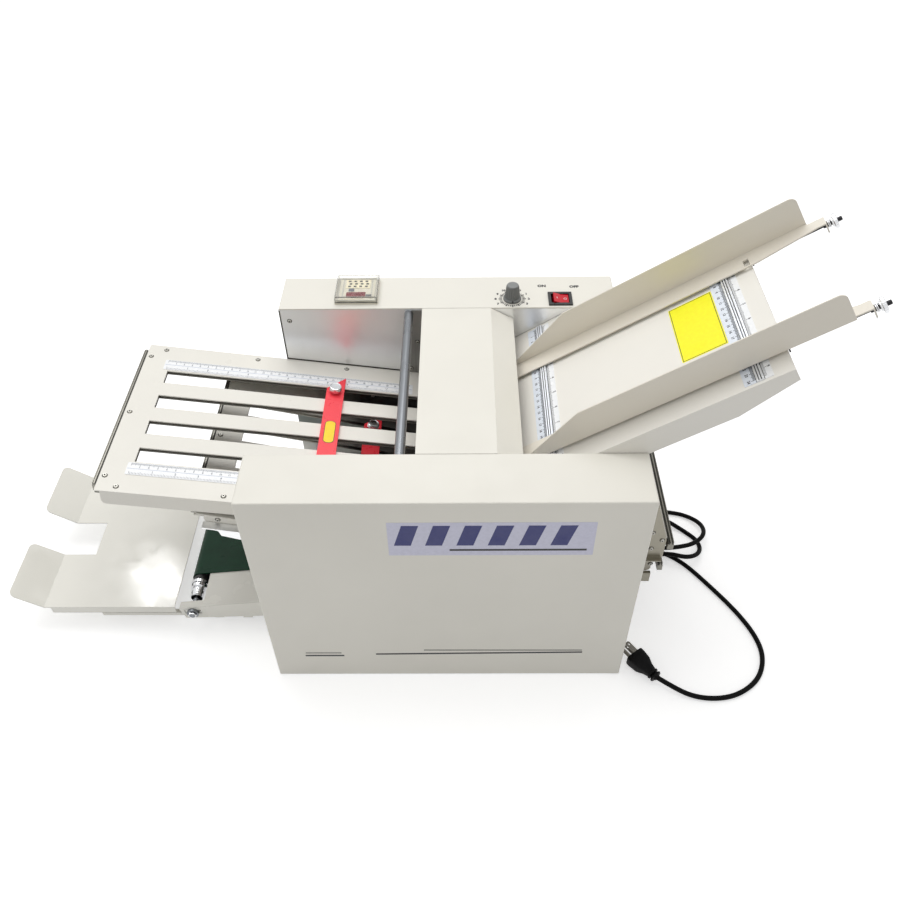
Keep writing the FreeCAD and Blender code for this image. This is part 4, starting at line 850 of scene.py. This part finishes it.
def bar_grooves():
    """Painted shade in the grooves beside each end bar's rib, as dark strips on their floors, and the bright
    lip outside them.
    """
    dark = Piece("end_bar_groove_shade", "groove_shade", "rail_aluminium")
    lips = Piece("end_bar_lips", "bar_aluminium", "rail_aluminium")
    for name, plate in PLATES.items():
        start = plate["length"]
        end = start + plate["bar"] - 2 * HAIR
        rib = start + plate["bar"] * BAR_RIB_SHARE
        half = plate["half"] - BAR_SHORT
        place = plate_place(name)
        for left, right in ((start + 2 * HAIR, rib - HAIR), (rib + BAR_RIB + HAIR, end - BAR_LIP)):
            dark.block(place, left, right, -half, half, GROOVE_FOOT, GROOVE_FLOOR)
        short = half - LIP_SLANT
        lip = [(end - BAR_LIP, -half), (end, -short), (end, short), (end - BAR_LIP, half)]
        lips.prism(place, lip, GROOVE_FOOT, LIP_TOP)
    show(dark, lips)


def frame_gap_shade():
    """Strips of painted shade for the gaps on the side frames: inside the covers' left edge and along the
    upper left plate.
    """
    dark = Piece("frame_gap_painted_shade", "groove_shade", "bright_steel")
    place = plate_place("upper_left")
    nip = place.translation.x / MM + ORIGIN_X
    reach = (nip - 1.0) / math.cos(math.radians(PLATES["upper_left"]["tilt"]))
    foot = place.translation.z / MM + GAP_FOOT
    for side in (-1, 1):
        inner, outer = sorted(side * depth for depth in GAP_DEPTHS)
        upright = [(GAP_LEFT, inner), (GAP_LINE, inner), (GAP_LINE + 0.2, outer), (GAP_LEFT, outer)]
        dark.prism(place_at(0.0, 0.0, 0.0), upright, foot, GAP_TOP)
        dark.block(place, PLATE_GAP_START, reach, inner, outer, PLATE_OUTER + HAIR, PLATE_OUTER + GAP_LINE)
    show(dark)


bar_grooves()
frame_gap_shade()

# ---- rulers
TICK_THICK = 0.1
TICK_WIDE = 0.42
TICK_REACHES = (2.8, 3.6, 4.6)
CM = {"unit": 10.0, "parts": 10}
INCH = {"unit": 25.4, "parts": 16}
TABLE_HALF = 127.4
RULER_END = 4.0
RAILS_AT = (-118.3, 108.0)
RAIL_WIDTH = 7.7
RAIL_HEIGHT = 3.1
RAIL_RIBS = 3
RAIL_PITCH = RAIL_WIDTH / RAIL_RIBS
RIB_STEPS = 8
RAIL_GROOVE = 0.8
RAIL_FLOOR = RAIL_HEIGHT * 0.55
CM_STRIP = 12.3
INCH_STRIP = 9.3
PLATE_RULER_Y = 91.0
PLATE_RULER_HALF = 9.25
PLATE_RULER_START = 43.0
PLATE_RULER_INSET = 26.0
PLATE_MARGIN = 4.0
TABLE_MARGIN = 3.0


def graduated(ink, place, length, edge_y, inward, scale, figures_y, height, first=0.0):
    """A scale along X: ticks inwards from an edge, longer at half and whole units, and figures from 1."""
    unit, parts = scale["unit"], scale["parts"]
    count = int(length / (unit / parts)) + 1
    for every, reach in zip((1, parts // 2, parts), TICK_REACHES):
        ink.grow(place, ROW, Count=(count - 1) // every + 1, Start=first, Spacing=unit / parts * every,
                 Offset=edge_y + inward * reach / 2, Lift=TICK_THICK / 2, Size=(TICK_WIDE, reach, TICK_THICK))
    for number in range(1, int(length / unit) + 1):
        spot = move(first + number * unit, figures_y, TICK_THICK / 2)
        ink.lettering(str(number), place @ spot, height, TICK_THICK, 0.1)


def rail_outline():
    """The section of a rail: round ribs with grooves between on a flat foot, as (x, z) from its left edge."""
    points = [(0.0, 0.0), (0.0, RAIL_FLOOR)]
    half = (RAIL_PITCH - RAIL_GROOVE) / 2
    for rib in range(RAIL_RIBS):
        for step in range(RIB_STEPS + 1):
            angle = math.pi * step / RIB_STEPS
            x = RAIL_PITCH * (rib + 0.5) - half * math.cos(angle)
            points.append((x, RAIL_FLOOR + (RAIL_HEIGHT - RAIL_FLOOR) * math.sin(angle) ** 0.5))
    return points + [(RAIL_WIDTH, RAIL_FLOOR), (RAIL_WIDTH, 0.0)]


def table_rulers():
    """Two printed strips across the feed table, each with a ribbed rail, ticks and figures, and painted shade
    in the rail's grooves and along its edges.
    """
    slot = "rail_aluminium"
    film = Piece("table_ruler_strips", "ruler_film", slot, replaces=["ruler_strips"])
    inch_film = Piece("table_inch_strips", "pale_ruler_film", slot)
    grooves = Piece("table_rail_groove_shade", "groove_shade", slot)
    ribs = Piece("table_ruler_rails", "rail_aluminium", slot, smooth_below=50.0)
    ink = Piece("table_ruler_ink", "ink_black", slot)
    ends = TABLE_HALF - RULER_END
    run = 2 * (ends - TABLE_MARGIN)
    for rail_at in RAILS_AT:
        rail_end = rail_at + RAIL_WIDTH
        for strip, left, right in ((film, rail_at - CM_STRIP, rail_at + 1.0),
                                   (inch_film, rail_end - 1.0, rail_end + INCH_STRIP)):
            strip.prism(TABLE, rounded_outline(left, right, -ends, ends, 0.8), 0.02, SCALE_SHEET)
        section = TABLE @ move(rail_at, ends, 0.0) @ about("X", 90.0)
        ribs.prism(section, rail_outline()[::-1], 0.0, 2 * ends)
        # Painted shade: dark strips in the grooves between the ribs and along both edges of the rail.
        for groove in range(RAIL_RIBS + 1):
            middle = rail_at + RAIL_PITCH * groove
            inside = 0 < groove < RAIL_RIBS
            floor = RAIL_FLOOR if inside else SCALE_SHEET
            half = (RAIL_GROOVE - 0.1 if inside else RAIL_GROOVE * 1.3) / 2
            grooves.prism(TABLE, rounded_outline(middle - half, middle + half, -ends, ends, 0.3, 2),
                          floor - 0.1, floor + 0.12)
        across = TABLE @ move(rail_at, ends - TABLE_MARGIN, SCALE_SHEET) @ about("Z", -90.0)
        graduated(ink, across, run, -0.4, -1, CM, -7.6, 3.0)
        graduated(ink, across, run, RAIL_WIDTH + 0.4, 1, INCH, RAIL_WIDTH + 6.9, 3.2)
    show(film, inch_film, grooves, ribs, ink)


def plate_rulers():
    """The two clear rulers along the upper left plate."""
    slot = "rail_aluminium"
    film = Piece("plate_ruler_strips", "pale_ruler_film", slot)
    ink = Piece("plate_ruler_ink", "pale_ink", slot)
    line = Piece("plate_ruler_lines", "ink_blue", slot)
    place = plate_place("upper_left")
    start = PLATE_RULER_START
    end = PLATES["upper_left"]["length"] - PLATE_RULER_INSET
    run = end - start - 2 * PLATE_MARGIN
    for y in (-PLATE_RULER_Y, PLATE_RULER_Y):
        outline = rounded_outline(start, end, y - PLATE_RULER_HALF, y + PLATE_RULER_HALF, 1.5)
        film.prism(place, outline, PLATE_OUTER + 0.02, PLATE_OUTER + SCALE_SHEET)
        top = place @ move(end, y, PLATE_OUTER + SCALE_SHEET) @ about("Z", 180.0)
        graduated(ink, top, run, PLATE_RULER_HALF - 0.6, -1, CM, 2.6, 2.2, PLATE_MARGIN)
        graduated(ink, top, run, -PLATE_RULER_HALF + 0.6, 1, INCH, -3.0, 2.6, PLATE_MARGIN)
        line.block(top, 1.0, end - start - 1.0, -0.35, 0.35, 0.0, 0.08)
    show(film, ink, line)


table_rulers()
plate_rulers()

# ---- films and stripes
FILM_THICK = 0.2
FILM_XY = (45.0, 95.0, -53.0, 38.0)
FILM_FRAME_XY = (46.0, 94.0, -52.0, 37.0)
FILM_LINE = 0.7
STOP_FILM_AT = (141.5, 5.0, 6.9)
STOP_FILM_RIM = (-6.6, 6.6, -19.0, 19.0, 5.4, 8)
STOP_FILM_OVAL = (-6.0, 6.0, -18.4, 18.4, 4.9, 8)
PANEL_XZ = (152.5, 367.0, 243.5, 296.8)
BAND_X = (158.5, 354.0)
BAND_Z = (260.0, 292.0)
BAND_BARS = 6
BAND_GAP = 6.0
BAND_LEAN = 9.0
RULE_XZ = (216.5, 360.0, 251.0, 254.0)
INK_TOP = 0.3
# Stripes low on the front cover as (left x, right x, left z, right z, thickness).
STRIPES = ((38.9, 82.5, 51.7, 51.7, 1.5), (38.1, 85.4, 45.8, 45.8, 2.8), (183.0, 373.6, 57.8, 57.2, 1.6),
           (124.3, 374.1, 49.0, 52.7, 3.0))


def table_film():
    """The yellow film on the feed table, with its printed frame."""
    film = Piece("table_film", "film_yellow", "table_paint")
    ink = Piece("table_film_frame", "ink_black", "table_paint")
    film.prism(TABLE, rounded_outline(*FILM_XY, 1.0), 0.02, FILM_THICK)
    for edge in edge_strips(*FILM_FRAME_XY, FILM_LINE, FILM_LINE):
        ink.block(TABLE, *edge, FILM_THICK, FILM_THICK + 0.06)
    show(film, ink)


def stop_film():
    """The plain amber oval on the upper left fold stop."""
    body = "upper_left_fold_stop"
    oval = Piece("stop_film", "film_amber", "stop_red", body)
    rim = Piece("stop_film_rim", "groove_shade", "stop_red", body)
    place = plate_place("upper_left") @ move(*STOP_FILM_AT)
    rim.prism(place, rounded_outline(*STOP_FILM_RIM), 0.02, FILM_THICK)
    oval.prism(place, rounded_outline(*STOP_FILM_OVAL), FILM_THICK, FILM_THICK + 0.08)
    show(oval, rim)


def front_cover_films():
    """The pale panel with a slanted band and a rule on the front cover, and four thin stripes low on it."""
    front = place_at(0.0, -WIDTH_HALF, 0.0, about("X", 90.0))
    panel = Piece("front_panel", "plate_lavender", "cream_paint")
    band = Piece("front_panel_band", "band_navy", "cream_paint")
    ink = Piece("front_panel_rules", "ink_black", "cream_paint")
    panel.prism(front, rounded_outline(*PANEL_XZ, 0.8), 0.0, FILM_THICK)
    left, right = BAND_X
    low, high = BAND_Z
    pitch = (right - left) / BAND_BARS
    for bar in range(BAND_BARS):
        start, end = left + pitch * bar, left + pitch * (bar + 1) - BAND_GAP
        slanted = [(start, low), (end - BAND_LEAN, low), (end, high), (start + BAND_LEAN, high)]
        band.prism(front, slanted, FILM_THICK, INK_TOP)
    ink.block(front, *RULE_XZ, FILM_THICK, INK_TOP)
    for x0, x1, z0, z1, thick in STRIPES:
        half = thick / 2
        ink.prism(front, [(x0, z0 - half), (x1, z1 - half), (x1, z1 + half), (x0, z0 + half)], 0.0, 0.12)
    show(panel, band, ink)


table_film()
stop_film()
front_cover_films()

# ---- counter, in millimetres from its middle
COUNTER = (97.5, 163.0)
FACE_Z = 330.0
RIM_XY = (-25, 25, -24, 24)
WINDOW_XY = (-15, 16, 2, 20.5)
TAB_XY = (-11, -4, -4.5, 1)
STRIP_XY = (-13.5, 11, -17, -6.5)
LINE_XY = (-13.5, 11, -20.0, -18.2)
GUTTERS_XY = ((-19, -17, -20, 22), (17.6, 19.6, -20, 22))
# Rows of marks in the window as (start, offset), and what they share.
MARK_ROWS = ((-10.6, 17.0), (-9.2, 11.4), (-10.6, 5.8))
MARKS = {"Count": 4, "Spacing": 7.2, "Lift": 0.56, "Size": (3.4, 2.9, 0.12)}
# Lines round the lid as (half length, half depth, width, bottom, top).
LID_LINES = ((27.0, 26.0, 0.9, 328.4, 329.2), (24.6, 23.6, 0.6, 336.05, 336.29))


def counter_face():
    """The rim, the window with its rows of marks, the tab and the dark red strip under the clear lid."""
    face = place_at(*COUNTER, FACE_Z)
    slot = "counter_cream"
    rim = Piece("counter_rim", "counter_grey", slot)
    window = Piece("counter_window", "counter_window", slot)
    marks = Piece("counter_marks", "ink_black", slot)
    tab = Piece("counter_tab", "window_slate", slot)
    strip = Piece("counter_strip", "counter_maroon", slot)
    for edge in edge_strips(*RIM_XY, 2.4, 2.0):
        rim.block(face, *edge, 0.0, 0.7)
    for gutter in GUTTERS_XY:
        rim.block(face, *gutter, 0.0, 0.35)
    window.prism(face, rounded_outline(*WINDOW_XY, 0.8), 0.0, 0.5)
    window.block(face, *LINE_XY, 0.0, 0.3)
    for start, offset in MARK_ROWS:
        marks.grow(face, ROW, Start=start, Offset=offset, **MARKS)
    tab.prism(face, rounded_outline(*TAB_XY, 0.6), 0.0, 0.6)
    strip.prism(face, rounded_outline(*STRIP_XY, 0.8), 0.0, 0.4)
    show(rim, window, marks, tab, strip)


def lid_frame():
    """The moulded edges that outline the clear lid: a foot all round and a line inside its bevel."""
    lines = Piece("lid_frame", "counter_grey", "lid_clear", "lid")
    for half_x, half_y, wide, z0, z1 in LID_LINES:
        for edge in edge_strips(-half_x, half_x, -half_y, half_y, wide, wide):
            lines.block(place_at(*COUNTER, 0.0), *edge, z0, z1)
    show(lines)


counter_face()
lid_frame()

# ---- speed knob and its dial
KNOB = (294.5, 146.4)
KNOB_SEAT = 0.3
KNOB_FLUTES = 20
KNOB_PROFILE = ((11.3, 0.0), (11.4, 0.4), (11.3, 1.8), (10.2, 2.9), (9.7, 3.4, True), (9.3, 6.0, True),
                (8.1, 18.6, True), (7.6, 19.6), (7.2, 19.8))
CAP_PROFILE = ((7.1, 19.6), (7.1, 20.5), (6.6, 20.9), (5.2, 20.7))
POINTER = [(-0.4, -9.4), (-0.9, -11.5), (0.9, -11.5), (0.4, -9.4)]
DIAL_SWEEP = math.radians(300.0)
DIAL_FIRST = math.radians(-90.0) - DIAL_SWEEP / 2
DIAL_INNER = 12.9
# Ticks of the dial as (count, length, width).
DIAL_TICKS = ((31, 3.4, 1.0), (11, 4.4, 1.6))
FIGURE_RADIUS = 21.0
LOWEST_FIGURE = -0.72


def speed_knob():
    """A fluted, tapered knob with a plain cap and a dark pointer on its skirt."""
    grip = Piece("knob_grip", "knob_grey", "knob_grey", "knob", ["speed_knob"], 30.0)
    cap = Piece("knob_cap", "knob_cap", "knob_grey", "knob")
    line = Piece("knob_pointer", "ink_black", "knob_grey", "knob")
    place = place_at(*KNOB, COVER_TOP + KNOB_SEAT)
    grip.lathe(place, KNOB_PROFILE, KNOB_FLUTES * 6, KNOB_FLUTES, 0.75)
    cap.lathe(place, CAP_PROFILE, 48)
    line.prism(place, POINTER, 1.4, 3.2)
    show(grip, cap, line)


def dial():
    """Ticks round the knob, long at every third one, with figures where the panel has room."""
    ink = Piece("dial_marks", "ink_black", "cream_paint")
    place = place_at(*KNOB, COVER_TOP)
    for count, long, wide in DIAL_TICKS:
        ink.grow(place, RING, Count=count, Radius=DIAL_INNER + long / 2, First=DIAL_FIRST,
                 Step=DIAL_SWEEP / (count - 1), Lift=0.06, Size=(long, wide, 0.12))
    for number in range(11):
        angle = DIAL_FIRST + DIAL_SWEEP / 10 * number
        if math.sin(angle) > LOWEST_FIGURE:
            spot = move(FIGURE_RADIUS * math.cos(angle), FIGURE_RADIUS * math.sin(angle), 0.06)
            ink.lettering(str(10 - number), place @ spot, 3.6, weight=0.3)
    show(ink)


speed_knob()
dial()

# ---- power switch
SWITCH = (354.9, 145.0, 322.0)
ROCKER_TILT = 11.0
ROCKER_SLOPE = 7.0
SIGN_AT = 5.2
ROCKER_TOP = 5.2 + SIGN_AT * math.tan(math.radians(ROCKER_SLOPE)) + 0.03
SIGN_I = (-0.3, 0.3, -1.7, 1.7, 0.0, 0.08)
SIGN_O = {"Count": 20, "Radius": 1.7, "First": 0.0, "Step": math.pi / 10, "Lift": 0.04,
          "Size": (0.5, 0.6, 0.08)}
WORDS = {"ON": (333.5, 174.0), "OFF": (374.8, 172.0)}


def switch_marks():
    """The I and O on the rocker and the words beside the switch."""
    white = Piece("rocker_marks", "ink_white", "switch_red", "rocker")
    ink = Piece("switch_words", "ink_black", "cream_paint")
    pivot = place_at(*SWITCH, about("Y", ROCKER_TILT))
    on_side, off_side = [pivot @ move(side * SIGN_AT, 0.0, ROCKER_TOP) @ about("Y", -side * ROCKER_SLOPE)
                         for side in (-1, 1)]
    white.block(on_side, *SIGN_I)
    white.grow(off_side, RING, **SIGN_O)
    for word, (x, y) in WORDS.items():
        ink.lettering(word, place_at(x, y, COVER_TOP + 0.06), 4.8, weight=0.36)
    show(white, ink)


switch_marks()

# ---- thumb screws and clamps
THUMB_SCREWS = {"upper_left": (141.5, -68.4), "upper_right": (150.0, 68.4), "lower_left": (93.0, -52.9),
                "lower_right": (170.0, 68.4)}
THUMB_RADIUS = 7.5
THUMB_PROFILE = ((2.0, -4.0), (2.0, 7.0), (4.5, 7.0), (4.5, 9.0), (6.8, 9.0), (THUMB_RADIUS, 9.7, True),
                 (THUMB_RADIUS, 15.4, True), (6.9, 16.3), (6.2, 16.5), (5.6, 16.1))
CLAMPS = {"front": -92.0, "rear": 57.6}
ROD_ABOVE = -2.1
ROD_PROFILE = ((1.1, 146.0), (1.1, 224.0), (2.4, 224.4), (2.4, 243.4), (2.0, 244.0))
HOOK = (145.2, 146.8, -4.0, 4.0, -6.5, 2.2)
CLIP_AT = 226.5
CLIP = (CLIP_AT, CLIP_AT + 1.5, -6.0, 6.0, -9.5, 3.2)
COIL_RADIUS = 3.9
COIL_WIRE = 0.65
COIL_ENDS = (CLIP_AT + 2.2, 232.4)
COIL_TURNS = 2.5
COIL_STEPS = 24
COIL_SIDES = 8
NUT_RADIUS = 8.5
NUT_PROFILE = ((5.2, 233.0), (5.6, 233.3), (5.6, 234.4), (NUT_RADIUS - 0.9, 234.6), (NUT_RADIUS, 235.3, True),
               (NUT_RADIUS, 238.0, True), (NUT_RADIUS - 0.9, 238.8), (4.6, 239.0), (4.2, 238.9))


def thumb_screw(name, at, y):
    """A turned screw head with a chamfered, knurled rim on a fold stop, over its collar."""
    head = Piece(name + "_thumb_head", "bright_chrome", "bright_steel", name + "_thumb_screw",
                 [name + "_stop_screw"], 30.0)
    head.lathe(plate_place(name) @ move(at, y, 0.0), THUMB_PROFILE, 96, 32, 0.35)
    show(head)


def coil_rings():
    """The sections of the clamp's spring, a round wire wound about Z."""
    rings = []
    start, end = COIL_ENDS
    total = int(COIL_TURNS * COIL_STEPS)
    for step in range(total + 1):
        angle = 2 * math.pi * step / COIL_STEPS
        ring = []
        for side in range(COIL_SIDES):
            turn = 2 * math.pi * side / COIL_SIDES
            reach = COIL_RADIUS + COIL_WIRE * math.cos(turn)
            height = start + (end - start) * step / total + COIL_WIRE * math.sin(turn)
            ring.append((reach * math.cos(angle), reach * math.sin(angle), height))
        rings.append(ring)
    return rings


def clamp(name, y):
    """The rod under a guide's tongue with its hook, clip, spring and turned nut."""
    guide = name + "_paper_guide"
    steel = Piece(name + "_clamp_rod", "stud_black", "rod_steel", guide, [name + "_guide_clamp"])
    bright = Piece(name + "_clamp_clip", "bright_chrome", "rod_steel", guide, smooth_below=50.0)
    nut = Piece(name + "_clamp_knurled_nut", "bright_chrome", "bright_steel", name + "_clamp_nut",
                [name + "_guide_nut"], 30.0)
    hook = TABLE @ move(0.0, y, 0.0)
    rod = TABLE @ move(0.0, y, ROD_ABOVE) @ about("Y", 90.0)
    steel.lathe(rod, ROD_PROFILE, 20)
    steel.block(hook, *HOOK)
    bright.block(hook, *CLIP)
    bright.loft(rod, coil_rings())
    nut.lathe(rod, NUT_PROFILE, 96, 24, 0.3)
    show(steel, bright, nut)


for screw_name, screw_at in THUMB_SCREWS.items():
    thumb_screw(screw_name, *screw_at)
for clamp_name, clamp_y in CLAMPS.items():
    clamp(clamp_name, clamp_y)

# ---- idler ends
IDLER = (-119.0, 30.5)
COLLAR_PROFILE = ((10.5, 76.6), (10.9, 77.0), (10.9, 80.8), (10.0, 81.2), (10.0, 82.4), (10.9, 82.8),
                  (10.9, 86.6), (10.2, 87.2), (8.1, 87.3), (8.1, 99.6), (7.2, 101.0))
# The slots are dark bars of painted shade on the collar and hub.
COLLAR_SLOTS = {"Count": 6, "Radius": 10.45, "First": 0.2, "Step": math.pi / 3, "Lift": 84.7,
                "Size": (1.0, 3.0, 2.2)}
HUB_SLOTS = {"Count": 3, "Radius": 7.7, "First": 0.5, "Step": 2 * math.pi / 3, "Lift": 94.0,
             "Size": (1.0, 3.2, 4.0)}
AXLE_NUT = {"Sides": 6, "Foot": 5.6, "Top": 5.6, "Height": 1.6}
AXLE_NUT_AT = 126.8


def idler_ends():
    """A bright collar with slots and a smaller hub at each end of the idler, the slots as dark patches of
    painted shade, and the axle's nuts.
    """
    collars = Piece("idler_collars", "bright_chrome", "roller_black", "belt_idler")
    slots = Piece("idler_slot_shade", "groove_shade", "roller_black", "belt_idler")
    nuts = Piece("axle_nuts", "bright_chrome", "rod_steel")
    for side in (-1, 1):
        place = place_at(IDLER[0], 0.0, IDLER[1], outward(side))
        collars.lathe(place, COLLAR_PROFILE, 48)
        slots.grow(place, RING, **COLLAR_SLOTS)
        slots.grow(place, RING, **HUB_SLOTS)
        nuts.grow(place, STUDS, [(0, 0, AXLE_NUT_AT)], **AXLE_NUT)
    show(collars, slots, nuts)


idler_ends()

# ---- light and floor
WHITE = (1.0, 1.0, 1.0, 1.0)
SKY_LIGHT = 0.52
MAIN_LAMP = {"at": (-0.2, 0.7, 2.2), "size": 1.7, "watts": 25.5}
WINDOW_LAMP = {"at": (-1.24, 1.5, 2.2), "size": 0.2, "watts": 1.8}
LAMP_AIM = (0.0, 0.0, 0.2)
FLOOR_SIZE = 8.0
FLOOR_Z = -0.0002
FLOOR_WHITE = (0.88, 0.88, 0.88, 1.0)
FLOOR_GLOW = 0.5


def camera_or_mirror(nodes):
    """One for rays from the camera, from glossy surfaces and through clear ones."""
    path = nodes.add("ShaderNodeLightPath").outputs
    total = path["Is Camera Ray"]
    for name in ("Is Glossy Ray", "Is Transmission Ray"):
        total = nodes.math("ADD", total, path[name])
        total.node.use_clamp = True
    return total


def make_world():
    """An even sky that looks white and lights the machine softly."""
    world = bpy.data.worlds.new("sky")
    SCENE.world = world
    world.use_nodes = True
    nodes = Nodes(world.node_tree)
    strength = nodes.add("ShaderNodeMapRange", Value=camera_or_mirror(nodes), To_Min=SKY_LIGHT, To_Max=1.0)
    nodes.feed(nodes.tree.nodes["Background"], Color=WHITE, Strength=strength.outputs["Result"])


def make_floor():
    """A wide pale floor that keeps the machine's shadow."""
    bpy.ops.mesh.primitive_plane_add(size=FLOOR_SIZE, location=(0, 0, FLOOR_Z))
    floor = bpy.context.object
    floor.name = "floor"
    material = bpy.data.materials.new("floor_white")
    material.use_nodes = True
    nodes = Nodes(material.node_tree)
    glow = nodes.math("MULTIPLY", camera_or_mirror(nodes), FLOOR_GLOW)
    nodes.feed(nodes.tree.nodes["Principled BSDF"], Base_Color=FLOOR_WHITE, Roughness=0.9,
               Specular_IOR_Level=0.1, Emission_Color=WHITE, Emission_Strength=glow)
    floor.data.materials.append(material)


def make_lamp(name, at, size, watts):
    """A square soft lamp that points at a place."""
    data = bpy.data.lights.new(name, "AREA")
    data.shape = "SQUARE"
    data.size = size
    data.energy = watts
    lamp = bpy.data.objects.new(name, data)
    lamp.location = at
    lamp.rotation_euler = (Vector(LAMP_AIM) - Vector(at)).to_track_quat("-Z", "Y").to_euler()
    SCENE.collection.objects.link(lamp)


make_world()
make_floor()
make_lamp("main_lamp", **MAIN_LAMP)
make_lamp("window_lamp", **WINDOW_LAMP)

SCENE.view_settings.view_transform = "Standard"
